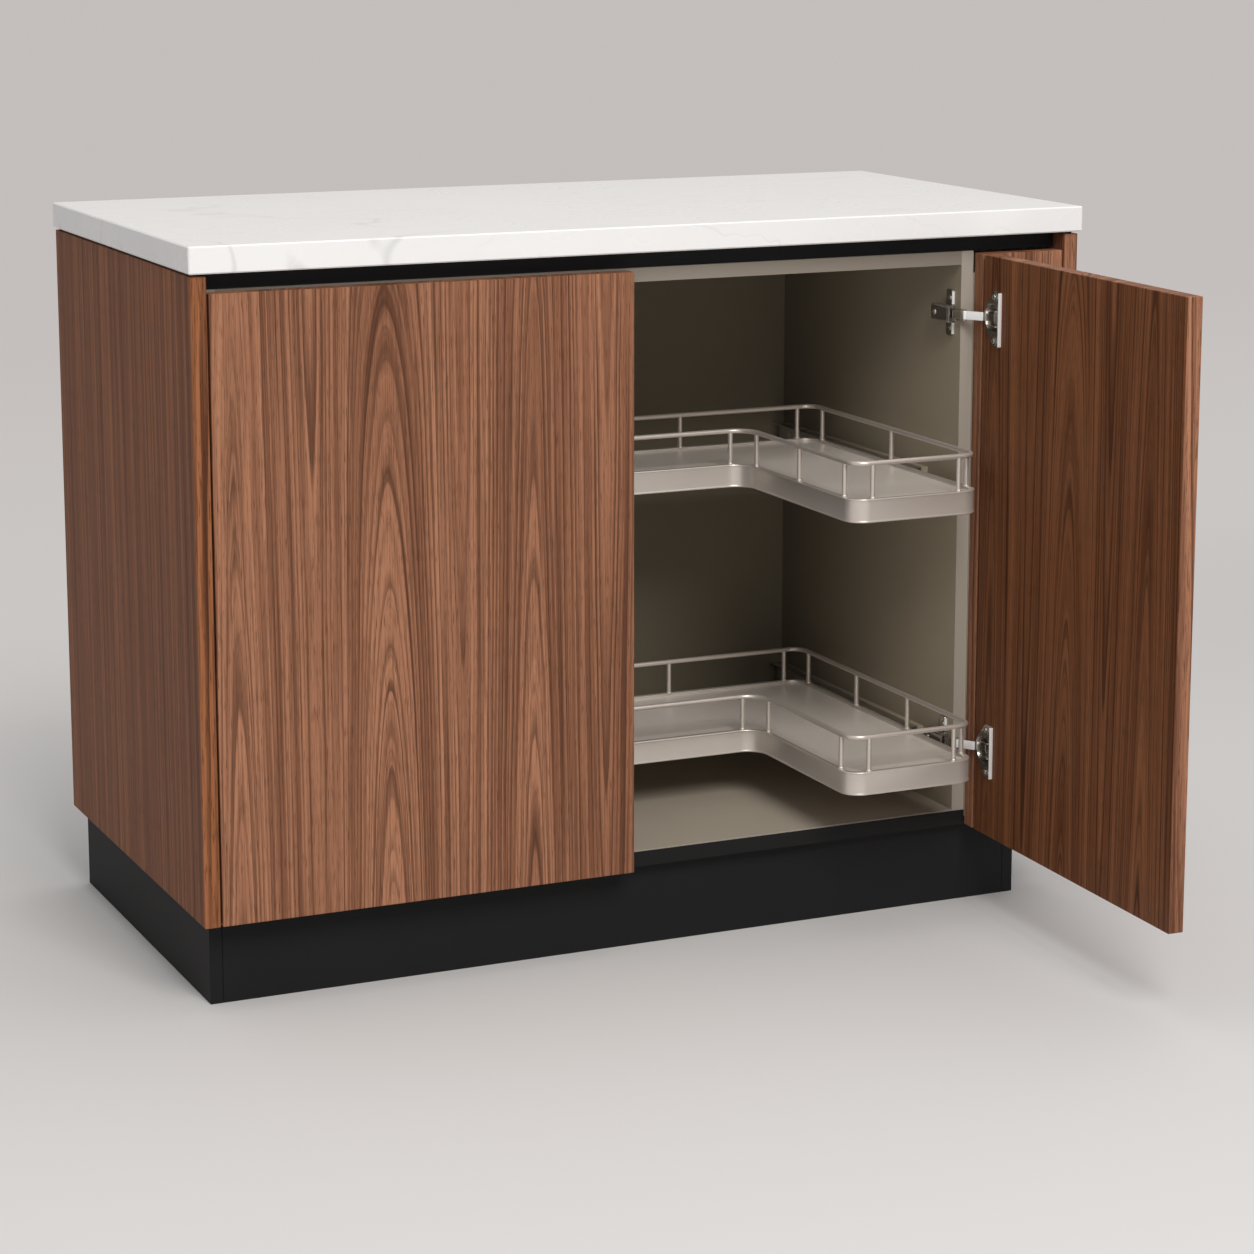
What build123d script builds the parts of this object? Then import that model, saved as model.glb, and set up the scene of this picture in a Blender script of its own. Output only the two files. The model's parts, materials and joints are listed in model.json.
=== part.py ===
from build123d import *
import os
from math import cos, radians, sin

os.makedirs("parts", exist_ok=True)

# Blind corner base cabinet. X runs along the front from the left end panel, Y runs back
# from the front plane of the doors and end panels, Z runs up from the floor.
# The door and the trays are built closed and then moved to the pose of the photograph.

# Body
body_width = 1100.0
body_depth = 550.0
end_panel_height = 720.0
end_panel_thickness = 18.0
edge_break = 0.7
overrun = 2.0

# Worktop and the shadow gap under it
worktop_thickness = 30.0
worktop_side_overhang = 3.0
worktop_front_overhang = 6.0
worktop_edge_break = 1.5
shadow_gap = 3.0
spacer_inset = 4.0
spacer_setback = 8.0

# Fronts
front_thickness = 19.0
front_top_drop = 19.0
front_reveal = 2.5
filler_width = 109.5
door_width = 446.0
door_gap = 3.0
buffer_gap = 3.0

# Carcass boards
side_thickness = 16.0
bottom_thickness = 19.0
rail_thickness = 16.0
rail_depth = 80.0
rear_rail_height = 100.0
rear_rail_thickness = 18.0
back_thickness = 8.0
service_void = 62.0
groove_depth = 6.0
groove_clearance = 0.2
back_edge_clearance = 0.5
back_top_clearance = 2.0
edge_strip_thickness = 2.0
edge_strip_height = 17.5
wall_hole_radius = 3.0
wall_hole_inset = 60.0
rear_dowel_shares = (0.25, 0.75)

# Grip channel over the fronts
channel_setback = 26.0
channel_wall = 2.0
channel_depth = 32.0
channel_end_clearance = 0.5
channel_notch_clearance = 2.0

# Blind stile and the fixings of the fixed front
stile_width = 46.0
stile_thickness = 16.0
stile_inset = 2.0
packer_width = 10.0
packer_end_inset = 12.0
bracket_leg = 32.0
bracket_wall = 2.0
bracket_height = 40.0
bracket_count = 3
bracket_screw_share = 0.7

# Filler bay at the right
cleat_width = 18.0
cleat_depth = 38.0
cleat_end_inset = 10.0
bay_board_depth = 100.0
bay_board_thickness = 16.0

# Plinth frame
plinth_height = 100.0
plinth_board = 15.0
plinth_front_setback = 36.0
plinth_left_inset = 15.0
plinth_right_inset = 50.0
plinth_rear_inset = 8.0
bearer_count = 2
corner_block_size = 28.0
corner_block_height = 74.0

# Fasteners: radius and length of the shank, radius and height of the head
dowel_radius = 4.0
dowel_length = 30.0
bottom_dowel_count = 4
wood_shank = 2.0
wood_head = 4.0
wood_head_height = 2.2
long_screw = 28.0
short_screw = 15.0
confirmat_shank = 2.5
confirmat_length = 48.0
confirmat_head = 4.5
confirmat_head_height = 3.0
joint_screw_inset = 60.0
bottom_screw_inset = 105.0
channel_screw_count = 4
end_screw_count = 4
fine_shank = 1.7
fine_head = 3.4
fine_head_height = 1.6
fine_screw = 12.0

# Concealed hinges
hinge_top_distance = 73.0
hinge_bottom_distance = 105.0
axis_inset = 14.0
axis_depth = 8.0
rest_angle = 88.0
cup_edge_distance = 22.5
cup_radius = 17.4
cup_hole_clearance = 0.1
cup_depth = 11.7
cup_wall = 1.1
flange_thickness = 1.2
flange_radius = 20.5
ear_pitch = 52.0
ear_offset = 6.0
ear_radius = 7.0
ear_thickness = 2.2
cup_cheek_outer = 10.2
cup_cheek_inner = 8.2
cup_cheek_reach = 10.0
cup_cheek_proud = 2.4
pin_radius = 1.0
pin_clearance = 0.05
pin_inset = 13.0
pin_depth = 12.6
nose_eye_radius = 1.9
nose_outer = 7.0
nose_inner = 5.2
nose_root_inset = 25.0
nose_root_depth = 38.0
link_half_height = 5.0
link_reach = 23.0
link_eye_radius = 2.4
link_tip_radius = 1.5
link_angle = 123.0
plate_setback = 20.0
plate_wing_width = 11.0
plate_wing_height = 56.0
plate_wing_thickness = 3.0
plate_wing_round = 5.0
plate_block_length = 22.0
plate_block_gap = 4.0
plate_screw_pitch = 36.0
arm_half_height = 9.5
arm_wall = 1.5
arm_projection = 16.0
arm_cheek_depth = 10.0
arm_front_setback = 4.0
arm_length = 46.0
arm_bridge_length = 10.0
arm_bridge_depth = 4.0
arm_fit = 0.2
adjuster_radius = 2.6
adjuster_height = 0.8

# Trays
tray_closed_clearance = 6.0
tray_advance = 96.0
tray_leg_width = 172.0
tray_corner_radius = 24.0
fascia_height = 28.0
fascia_wall = 2.0
deck_thickness = 3.0
deck_drop = 1.5
gallery_height = 41.0
gallery_radius = 3.0
gallery_inset = 5.0
post_radius = 2.5
post_spacing = 190.0
upper_tray_top = 533.0
upper_tray_depth = 421.0
upper_side_leg_depth = 146.0
lower_tray_top = 208.0
lower_tray_depth = 452.0
lower_side_leg_depth = 215.0

# Ball runners
runner_thickness = 12.7
runner_height = 27.0
runner_wall = 1.2
runner_flange = 11.0
runner_setback = 73.0
runner_back_clearance = 4.0
runner_gap = 3.4
runner_moving_flange = 9.5
runner_moving_front = 183.0
runner_moving_back = 12.0
runner_standoff = 8.3
ball_radius = 1.6
ball_pocket_clearance = 0.15
row_ball_count = 5
cage_wall = 0.8
cage_web_gap = 0.9
cage_flange = 6.8
cage_end_inset = 30.0
cage_ball_inset = 12.0
guide_width = 18.0
guide_setback = 8.0
guide_drop = 22.0
guide_reach = 23.0
guide_shelf = 3.0
guide_clearance = 0.4

# Levels and planes that follow from the sizes above
base_z = plinth_height
panel_top = base_z + end_panel_height
worktop_z = panel_top + shadow_gap
front_top = panel_top - front_top_drop
carcass_front = front_thickness + buffer_gap
back_front = body_depth - service_void - back_thickness
inner_left = end_panel_thickness + side_thickness
bay_right = body_width - end_panel_thickness
filler_left = bay_right - front_reveal - filler_width
door_right = filler_left - door_gap
door_left = door_right - door_width
fixed_right = door_left - door_gap
fixed_left = end_panel_thickness + front_reveal
inner_right = filler_left - side_thickness
bottom_top = base_z + bottom_thickness
rail_top = front_top + channel_wall
rail_bottom = rail_top - rail_thickness
channel_back = channel_setback + channel_depth
upward = (Align.CENTER, Align.CENTER, Align.MIN)


def board(x0, x1, y0, y1, z0, z1):
    """Square-edged board between six planes."""
    return Pos((x0 + x1) / 2, (y0 + y1) / 2, (z0 + z1) / 2) * Box(x1 - x0, y1 - y0, z1 - z0)


def edged_board(x0, x1, y0, y1, z0, z1, break_size=edge_break):
    """Board with all its edges broken, as a lipped panel has."""
    plain = board(x0, x1, y0, y1, z0, z1)
    return chamfer(plain.edges(), break_size)


def peg(at, direction, radius, length):
    """Round peg that starts at a point and runs along a direction."""
    return Plane(origin=at, z_dir=direction).location * Cylinder(radius, length, align=upward)


def screw(at, direction, shank, length, head, head_height):
    """Flat-headed screw whose head lies under its start, flush with the face it enters."""
    start = Vector(at)
    way = Vector(direction).normalized()
    return peg(start, way, head, head_height) + peg(start, way, shank, length)


def raised_screw(at, direction, shank, length, head, head_height):
    """Screw whose head stands on the face that it enters."""
    way = Vector(direction).normalized()
    top = Vector(at) - way * head_height
    return peg(top, way, head, head_height) + peg(at, way, shank, length)


def spread(first, last, count):
    """Evenly spaced places from first to last."""
    step = (last - first) / (count - 1)
    return [first + step * index for index in range(count)]


def group(pieces):
    """Separate solids that share one node."""
    return Compound([solid for piece in pieces for solid in piece.solids()])


def without(piece, cutters):
    """Piece with the room of its fasteners taken out."""
    for cutter in cutters:
        piece = piece - cutter
    return piece


def make_worktop():
    """Worktop slab, flush with the body at the back."""
    return edged_board(
        -worktop_side_overhang, body_width + worktop_side_overhang, -worktop_front_overhang,
        body_depth, worktop_z, worktop_z + worktop_thickness, worktop_edge_break)


def make_worktop_spacers():
    """Strips on the panel tops that hold the worktop up and leave the shadow gap."""
    rear = body_depth - spacer_inset
    behind_channel = channel_back + channel_notch_clearance
    ends = [(spacer_inset, end_panel_thickness - channel_end_clearance),
            (bay_right + channel_end_clearance, body_width - spacer_inset)]
    strips = [board(x0, x1, spacer_setback, rear, panel_top, worktop_z) for x0, x1 in ends]
    sides = [(end_panel_thickness, inner_left), (inner_right, filler_left)]
    strips += [board(x0, x1, behind_channel, rear, panel_top, worktop_z) for x0, x1 in sides]
    strips.append(board(inner_left, inner_right, body_depth - rear_rail_thickness, rear, panel_top, worktop_z))
    return group(strips)


def channel_notch(x0, x1):
    """Room for the grip channel in the top front corner of a side."""
    return board(x0 - overrun, x1 + overrun, carcass_front - overrun,
                 channel_back + channel_notch_clearance, rail_top, panel_top + overrun)


def back_groove():
    """Groove that holds the back panel in the sides and the bottom."""
    reach = groove_depth
    return board(inner_left - reach, inner_right + reach, back_front - groove_clearance,
                 back_front + back_thickness + groove_clearance, bottom_top - reach, panel_top + overrun)


def make_side(x0, x1):
    """Carcass side with its channel notch and back groove."""
    blank = board(x0, x1, carcass_front, body_depth, base_z, panel_top)
    return blank - channel_notch(x0, x1) - back_groove()


def make_bottom():
    """Carcass bottom between the sides, with the back groove in its top face."""
    blank = board(inner_left, inner_right, carcass_front, body_depth, base_z, bottom_top)
    return blank - back_groove()


def make_back():
    """Back panel, held on three sides in its groove."""
    reach = groove_depth - back_edge_clearance
    return board(inner_left - reach, inner_right + reach, back_front, back_front + back_thickness,
                 bottom_top - reach, panel_top - back_top_clearance)


def make_front_rail():
    """Flat rail across the front under the grip channel."""
    return board(inner_left, inner_right, carcass_front, carcass_front + rail_depth, rail_bottom, rail_top)


def make_rear_rail():
    """Upright rail across the back, with the two holes that fix the cabinet to a wall."""
    y0 = body_depth - rear_rail_thickness
    z0 = panel_top - rear_rail_height
    rail = board(inner_left, inner_right, y0, body_depth, z0, panel_top)
    for x in (inner_left + wall_hole_inset, inner_right - wall_hole_inset):
        at = (x, y0 - overrun, z0 + rear_rail_height / 2)
        rail = rail - peg(at, (0, 1, 0), wall_hole_radius, rear_rail_thickness + overrun * 2)
    return rail


def make_channel():
    """C-shaped grip channel from end panel to end panel."""
    x0 = end_panel_thickness + channel_end_clearance
    x1 = bay_right - channel_end_clearance
    y0 = channel_setback
    shell = board(x0, x1, y0, channel_back, rail_top, worktop_z)
    hollow = board(x0 - overrun, x1 + overrun, y0 + channel_wall, channel_back + overrun,
                   rail_top + channel_wall, worktop_z - channel_wall)
    return shell - hollow


def channel_screws():
    """Screws through the channel's foot into the front rail."""
    y = channel_setback + channel_depth / 2
    z = rail_top + channel_wall
    return [raised_screw((x, y, z), (0, 0, -1), fine_shank, fine_screw, fine_head, fine_head_height)
            for x in spread(inner_left + joint_screw_inset, inner_right - joint_screw_inset,
                            channel_screw_count)]


def make_edge_strip():
    """Dark strip on the front edge of the bottom and the sides."""
    return board(end_panel_thickness, filler_left, carcass_front - edge_strip_thickness, carcass_front,
                 base_z, base_z + edge_strip_height)


def make_fixed_panel():
    """Blind front panel."""
    return edged_board(fixed_left, fixed_right, 0, front_thickness, base_z, front_top)


def make_stile():
    """Upright behind the free edge of the blind front."""
    x1 = fixed_right - stile_inset
    return board(x1 - stile_width, x1, carcass_front, carcass_front + stile_thickness, bottom_top, rail_bottom)


def make_packers():
    """Packers that bring the blind front level with the door."""
    z0 = bottom_top + packer_end_inset
    z1 = rail_bottom - packer_end_inset
    middle = fixed_right - stile_inset - stile_width / 2
    places = [inner_left - packer_width - edge_break, middle - packer_width / 2]
    return group([board(x, x + packer_width, front_thickness, carcass_front, z0, z1) for x in places])


def bracket_levels():
    """Heights of the brackets and screws that hold the blind front."""
    return spread(bottom_top + joint_screw_inset, rail_bottom - joint_screw_inset, bracket_count)


def make_brackets():
    """Angle brackets between the left side and the blind front."""
    brackets = []
    for z in bracket_levels():
        z0 = z - bracket_height / 2
        z1 = z + bracket_height / 2
        y1 = front_thickness + bracket_leg
        on_panel = board(inner_left, inner_left + bracket_leg, front_thickness,
                         front_thickness + bracket_wall, z0, z1)
        on_side = board(inner_left, inner_left + bracket_wall, front_thickness, y1, z0, z1)
        brackets.append(on_panel + on_side)
    return brackets


def front_screws():
    """Screws into the back of the blind front, through the brackets and the stile."""
    pieces = []
    on_bracket = inner_left + bracket_leg * bracket_screw_share
    on_side_y = front_thickness + bracket_leg * bracket_screw_share
    on_stile = fixed_right - stile_inset - stile_width / 4
    for z in bracket_levels():
        pieces.append(raised_screw((on_bracket, front_thickness + bracket_wall, z), (0, -1, 0),
                                   fine_shank, fine_screw, fine_head, fine_head_height))
        pieces.append(raised_screw((inner_left + bracket_wall, on_side_y, z), (-1, 0, 0),
                                   fine_shank, fine_screw, fine_head, fine_head_height))
        pieces.append(raised_screw((on_stile, carcass_front + stile_thickness, z), (0, -1, 0),
                                   wood_shank, long_screw, wood_head, wood_head_height))
    return pieces


def make_filler():
    """Filler panel between the door and the right end panel."""
    return edged_board(filler_left, bay_right - front_reveal, 0, front_thickness, base_z, front_top)


def make_cleats():
    """Upright cleats behind the filler, one on each side of the bay."""
    z0 = base_z + cleat_end_inset
    z1 = rail_bottom - cleat_end_inset
    y1 = front_thickness + cleat_depth
    spans = [(filler_left, filler_left + cleat_width), (bay_right - cleat_width, bay_right)]
    return group([board(x0, x1, front_thickness, y1, z0, z1) for x0, x1 in spans])


def bay_boards():
    """Boards that tie the right end panel to the carcass."""
    boards = []
    front = channel_back + channel_notch_clearance
    for y0 in (front, body_depth - bay_board_depth):
        for z0 in (base_z, panel_top - bay_board_thickness):
            boards.append(board(filler_left, bay_right, y0, y0 + bay_board_depth, z0, z0 + bay_board_thickness))
    return boards


def end_panel_screws():
    """Screws from the left side and from the filler cleat into the end panels."""
    pieces = []
    for z in spread(lower_tray_top + joint_screw_inset, rail_bottom - joint_screw_inset, end_screw_count):
        for y in (carcass_front + joint_screw_inset, back_front - joint_screw_inset):
            pieces.append(raised_screw((inner_left, y, z), (-1, 0, 0), wood_shank, long_screw,
                                       wood_head, wood_head_height))
        y = front_thickness + cleat_depth / 2
        pieces.append(raised_screw((bay_right - cleat_width, y, z), (1, 0, 0), wood_shank, long_screw,
                                   wood_head, wood_head_height))
    return pieces


def joint_rows():
    """Places where the bottom and the rails meet the sides: depths and level of each joint."""
    bottom_ys = spread(carcass_front + joint_screw_inset, body_depth - joint_screw_inset, bottom_dowel_count)
    rail_ys = [carcass_front + rail_depth / 4, carcass_front + rail_depth * 3 / 4]
    bottom_row = [(y, base_z + bottom_thickness / 2) for y in bottom_ys]
    rail_row = [(y, (rail_bottom + rail_top) / 2) for y in rail_ys]
    rear_y = body_depth - rear_rail_thickness / 2
    rear_row = [(rear_y, panel_top - rear_rail_height * share) for share in rear_dowel_shares]
    return bottom_row + rail_row + rear_row


def carcass_dowels():
    """Dowels between the carcass sides and the boards between them."""
    start = dowel_length / 3
    pieces = []
    for y, z in joint_rows():
        pieces.append(peg((inner_left - start, y, z), (1, 0, 0), dowel_radius, dowel_length))
        pieces.append(peg((inner_right + start, y, z), (-1, 0, 0), dowel_radius, dowel_length))
    return pieces


def carcass_screws():
    """Joint screws from the outside of the carcass sides into the bottom and the rails."""
    rows = [(carcass_front + bottom_screw_inset, base_z + bottom_thickness / 2),
            (back_front - bottom_screw_inset, base_z + bottom_thickness / 2),
            (carcass_front + rail_depth / 2, (rail_bottom + rail_top) / 2),
            (body_depth - rear_rail_thickness / 2, panel_top - rear_rail_height / 2)]
    pieces = []
    for y, z in rows:
        for x, way in ((end_panel_thickness, 1), (filler_left, -1)):
            pieces.append(screw((x, y, z), (way, 0, 0), confirmat_shank, confirmat_length,
                                confirmat_head, confirmat_head_height))
    return pieces


def plinth_planes():
    """Outer planes of the plinth frame: left, right, front and rear."""
    return (plinth_left_inset, body_width - plinth_right_inset, plinth_front_setback,
            body_depth - plinth_rear_inset)


def make_plinth_side(x0):
    """Plinth side board, whose front end shows at the corner."""
    y0, y1 = plinth_planes()[2:]
    return edged_board(x0, x0 + plinth_board, y0, y1, 0, plinth_height)


def make_plinth_cross(y0):
    """Plinth board between the two side boards."""
    left, right = plinth_planes()[:2]
    return edged_board(left + plinth_board, right - plinth_board, y0, y0 + plinth_board, 0, plinth_height)


def make_bearers():
    """Cross bearers inside the plinth."""
    left, right, front, rear = plinth_planes()
    step = (right - left - plinth_board) / (bearer_count + 1)
    return group([board(left + step * (index + 1), left + step * (index + 1) + plinth_board,
                        front + plinth_board, rear - plinth_board, 0, plinth_height)
                  for index in range(bearer_count)])


def corner_blocks():
    """Blocks and screws in the four inner corners of the plinth."""
    left, right, front, rear = plinth_planes()
    z0 = (plinth_height - corner_block_height) / 2
    z1 = z0 + corner_block_height
    middle = plinth_height / 2
    size = corner_block_size
    blocks = []
    pieces = []
    for x, way_x in ((left + plinth_board, 1), (right - plinth_board, -1)):
        for y, way_y in ((front + plinth_board, 1), (rear - plinth_board, -1)):
            x0, x1 = sorted((x, x + way_x * size))
            y0, y1 = sorted((y, y + way_y * size))
            blocks.append(board(x0, x1, y0, y1, z0, z1))
            rise = corner_block_height / 4
            pieces.append(raised_screw((x + way_x * size, y + way_y * size / 2, middle + rise), (-way_x, 0, 0),
                                       wood_shank, size + plinth_board / 2, wood_head, wood_head_height))
            pieces.append(raised_screw((x + way_x * size / 2, y + way_y * size, middle - rise), (0, -way_y, 0),
                                       wood_shank, size + plinth_board / 2, wood_head, wood_head_height))
    return blocks, pieces


# The hinge parts are drawn closed, about the door edge at door_right and the front plane.
pin_x = door_right - pin_inset
pin_y = pin_depth
hinge_axis = Axis((door_right + axis_inset, axis_depth, 0), (0, 0, 1))
hinge_levels = {"upper": front_top - hinge_top_distance, "lower": base_z + hinge_bottom_distance}
cup_x = door_right - cup_edge_distance
plate_y = carcass_front + plate_setback
ear_x = cup_x - ear_offset


def make_door():
    """Door leaf with the two cup holes, closed."""
    leaf = edged_board(door_left, door_right, 0, front_thickness, base_z, front_top)
    for z in hinge_levels.values():
        hole_radius = cup_radius + cup_hole_clearance
        at = (cup_x, front_thickness - cup_depth - cup_hole_clearance, z)
        leaf = leaf - peg(at, (0, 1, 0), hole_radius, cup_depth + overrun)
    return leaf


def cup_screws(z):
    """The two screws of a hinge cup."""
    y = front_thickness + ear_thickness
    return [raised_screw((ear_x, y, z + side * ear_pitch / 2), (0, -1, 0), fine_shank, fine_screw,
                         fine_head, fine_head_height) for side in (-1, 1)]


def make_ear(z, side):
    """Screw ear of a hinge cup: straight on the far side, running back to the rim on the near side."""
    root = z + side * cup_cheek_inner
    ear_z = z + side * ear_pitch / 2
    reach = (flange_radius ** 2 - cup_cheek_inner ** 2) ** 0.5
    corners = [(ear_x - ear_radius, root), (ear_x - ear_radius, ear_z), (ear_x + ear_radius, ear_z),
               (cup_x + reach, root)]
    wall = Plane.XZ.offset(-front_thickness)
    wing = extrude(make_face(wall * Polyline(*corners, close=True)), ear_thickness, dir=(0, 1, 0))
    return wing + peg((ear_x, front_thickness, ear_z), (0, 1, 0), ear_radius, ear_thickness)


def make_cup(z):
    """Hinge cup with its rim, ears and the two cheeks beside the link."""
    floor_y = front_thickness - cup_depth
    shell = peg((cup_x, floor_y, z), (0, 1, 0), cup_radius, cup_depth)
    flange = peg((cup_x, front_thickness, z), (0, 1, 0), flange_radius, flange_thickness)
    for side in (-1, 1):
        flange = flange + make_ear(z, side)
    inside = cup_radius - cup_wall
    hollow = peg((cup_x, floor_y + cup_wall, z), (0, 1, 0), inside, cup_depth + overrun)
    body = shell + flange - hollow
    for side in (-1, 1):
        low, high = sorted((z + side * cup_cheek_inner, z + side * cup_cheek_outer))
        body = body + board(cup_x - cup_cheek_reach, cup_x + cup_cheek_reach, floor_y + cup_wall / 2,
                            front_thickness + cup_cheek_proud, low, high)
    return without(body, cup_screws(z))


def make_link(z):
    """Hinge link, folded into the cup."""
    half = link_half_height
    bar = board(pin_x - link_reach, pin_x, pin_y - link_tip_radius, pin_y + link_tip_radius, z - half, z + half)
    eye = peg((pin_x, pin_y, z - half), (0, 0, 1), link_eye_radius, half * 2)
    tip = peg((pin_x - link_reach, pin_y, z - half), (0, 0, 1), link_tip_radius, half * 2)
    bore = peg((pin_x, pin_y, z - half - overrun), (0, 0, 1), pin_radius + pin_clearance, half * 2 + overrun * 2)
    return bar + eye + tip - bore


def make_pin(z):
    """Pin through the arm's nose and the link."""
    return peg((pin_x, pin_y, z - nose_outer), (0, 0, 1), pin_radius, nose_outer * 2)


def plate_screws(z):
    """Wall screws of a mounting plate."""
    x = inner_right - plate_wing_thickness
    return [raised_screw((x, plate_y, z + side * plate_screw_pitch / 2), (1, 0, 0), fine_shank, fine_screw,
                         fine_head, fine_head_height) for side in (-1, 1)]


def make_plate(z):
    """Cross-shaped mounting plate on the carcass side, with the block that carries the arm."""
    wing = board(inner_right - plate_wing_thickness, inner_right, plate_y - plate_wing_width / 2,
                 plate_y + plate_wing_width / 2, z - plate_wing_height / 2, z + plate_wing_height / 2)
    wing = fillet(wing.edges().filter_by(Axis.X), plate_wing_round)
    x0 = inner_right - arm_projection + arm_wall + arm_fit
    y0 = plate_y + plate_block_gap
    half = arm_half_height - arm_wall - arm_fit
    block = board(x0, inner_right, y0, y0 + plate_block_length, z - half, z + half)
    foot = board(inner_right - plate_wing_thickness, inner_right, plate_y, y0 + plate_block_length,
                 z - half, z + half)
    return without(wing + block + foot, plate_screws(z))


def nose_bar(z0, z1):
    """One slanted cheek of the arm's nose, ending in the pin's eye."""
    root = Vector(door_right - nose_root_inset, nose_root_depth)
    tip = Vector(pin_x, pin_y)
    way = (tip - root).normalized()
    across = Vector(-way.Y, way.X) * nose_eye_radius
    corners = [root + across, tip + across, tip - across, root - across]
    outline = make_face(Polyline(*[(corner.X, corner.Y, z0) for corner in corners], close=True))
    return extrude(outline, z1 - z0) + peg((pin_x, pin_y, z0), (0, 0, 1), nose_eye_radius, z1 - z0)


def make_arm(z):
    """Hinge arm over the plate's block, with a cranked nose that reaches the pin."""
    x0 = inner_right - arm_projection
    y0 = carcass_front + arm_front_setback
    y1 = y0 + arm_length
    high = arm_half_height
    arm = board(x0, x0 + arm_wall, y0, y1, z - high, z + high)
    for side in (-1, 1):
        low, top = sorted((z + side * (high - arm_wall), z + side * high))
        arm = arm + board(x0, x0 + arm_cheek_depth, y0, y1, low, top)
    bridge_y = plate_y + plate_block_gap - arm_fit
    arm = arm + board(x0, x0 + arm_wall + arm_bridge_depth, bridge_y - arm_bridge_length, bridge_y,
                      z - high, z + high)
    for z0 in (z + nose_inner, z - nose_outer):
        arm = arm + nose_bar(z0, z0 + nose_outer - nose_inner)
    return arm - make_pin(z)


def make_adjuster(z):
    """Head of the adjusting screw on the arm."""
    x = inner_right - arm_projection
    y = plate_y + plate_block_gap + plate_block_length / 2
    return peg((x, y, z), (-1, 0, 0), adjuster_radius, adjuster_height)


# Plan of a tray: an L whose right leg comes through the door opening.
tray_front = front_thickness + tray_closed_clearance
tray_left = inner_left + runner_thickness
tray_right = inner_right - runner_standoff - runner_thickness
tray_inner = tray_right - tray_leg_width


def tray_corners(depth, notch, inset=0):
    """Corners of the tray's plan, drawn in from its outer face by inset."""
    back = tray_front + depth - inset
    step = tray_front + notch + inset
    left, right, inner = tray_left + inset, tray_right - inset, tray_inner + inset
    return [(left, step), (left, back), (right, back), (right, tray_front + inset),
            (inner, tray_front + inset), (inner, step)]


def tray_outline(depth, notch, inset=0):
    """Rounded outline of the tray. The inner corner bends the other way."""
    corners = tray_corners(depth, notch, inset)
    sheet = make_face(Polyline(*corners, close=True))
    inner_corner = corners[-1]
    outer = [v for v in sheet.vertices() if abs(v.X - inner_corner[0]) + abs(v.Y - inner_corner[1]) > edge_break]
    sheet = fillet(outer, tray_corner_radius - inset)
    inner = sheet.vertices().sort_by_distance((inner_corner[0], inner_corner[1], 0))[0]
    return fillet(inner, tray_corner_radius + inset)


def make_fascia(top, depth, notch):
    """Deep band round the tray."""
    band = tray_outline(depth, notch) - tray_outline(depth, notch, fascia_wall)
    return Pos(0, 0, top - fascia_height) * extrude(band, fascia_height)


def make_deck(top, depth, notch):
    """Flat sheet of the tray, a little below the top of its band."""
    sheet = extrude(tray_outline(depth, notch, fascia_wall), deck_thickness)
    return Pos(0, 0, top - deck_drop - deck_thickness) * sheet


def make_gallery(top, depth, notch):
    """Round rail over the tray's edge."""
    path = (Pos(0, 0, top + gallery_height) * tray_outline(depth, notch, gallery_inset)).wire()
    start = path.position_at(0)
    return sweep(Plane(origin=start, z_dir=path.tangent_at(0)) * Circle(gallery_radius), path=path)


def post_places(depth, notch):
    """Places of the gallery posts: at both ends of each bend and evenly along long runs."""
    corners = [Vector(x, y) for x, y in tray_corners(depth, notch, gallery_inset)]
    places = []
    for index, start in enumerate(corners):
        end = corners[(index + 1) % len(corners)]
        way = (end - start).normalized()
        first = start + way * tray_corner_radius
        last = end - way * tray_corner_radius
        count = max(1, round((last - first).length / post_spacing))
        places += [first + (last - first) * (step / count) for step in range(count + 1)]
    return places


def make_posts(top, depth, notch, gallery):
    """Posts from the deck up to the rail."""
    deck_top = top - deck_drop
    height = gallery_height + deck_drop
    posts = [peg((place.X, place.Y, deck_top), (0, 0, 1), post_radius, height)
             for place in post_places(depth, notch)]
    return [post - gallery for post in posts]


def channel_section(web, way, thickness, flange, half_height, y0, y1, z):
    """Runner channel: its web stands at web, and its flanges run from there along way in X."""
    x0, x1 = sorted((web, web + way * flange))
    shell = board(x0, x1, y0, y1, z - half_height, z + half_height)
    a, b = sorted((web + way * thickness, web + way * (flange + overrun)))
    hollow = board(a, b, y0 - overrun, y1 + overrun, z - half_height + thickness, z + half_height - thickness)
    return shell - hollow


def runner_places(depth, notch):
    """Wall face, direction, and the fixed and moving stretches of each runner, tray closed."""
    back = back_front - runner_back_clearance
    front = carcass_front + runner_setback
    moving_back = tray_front + depth - tray_corner_radius
    left_front = tray_front + notch + tray_corner_radius
    right_wall = inner_right - runner_standoff
    return [(inner_left, 1, front, back, left_front, moving_back),
            (right_wall, -1, front, back, tray_front + runner_moving_front, moving_back)]


def runner_level(top):
    """Height of the runners' centre line."""
    return top - fascia_height / 2


def runner_screws(top, depth, notch):
    """Screws of the fixed runner members."""
    z = runner_level(top)
    pieces = []
    for wall, way, front, back, _, _ in runner_places(depth, notch):
        for y in (front + joint_screw_inset / 2, back - joint_screw_inset / 2):
            at = (wall + way * runner_wall, y, z)
            pieces.append(raised_screw(at, (-way, 0, 0), fine_shank, fine_screw + runner_wall,
                                       fine_head, cage_web_gap / 2))
    return pieces


def make_fixed_runners(top, depth, notch):
    """Fixed members of a tray's two runners."""
    z = runner_level(top)
    rails = [channel_section(wall, way, runner_wall, runner_flange, runner_height / 2, front, back, z)
             for wall, way, front, back, _, _ in runner_places(depth, notch)]
    return [without(rail, runner_screws(top, depth, notch)) for rail in rails]


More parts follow.
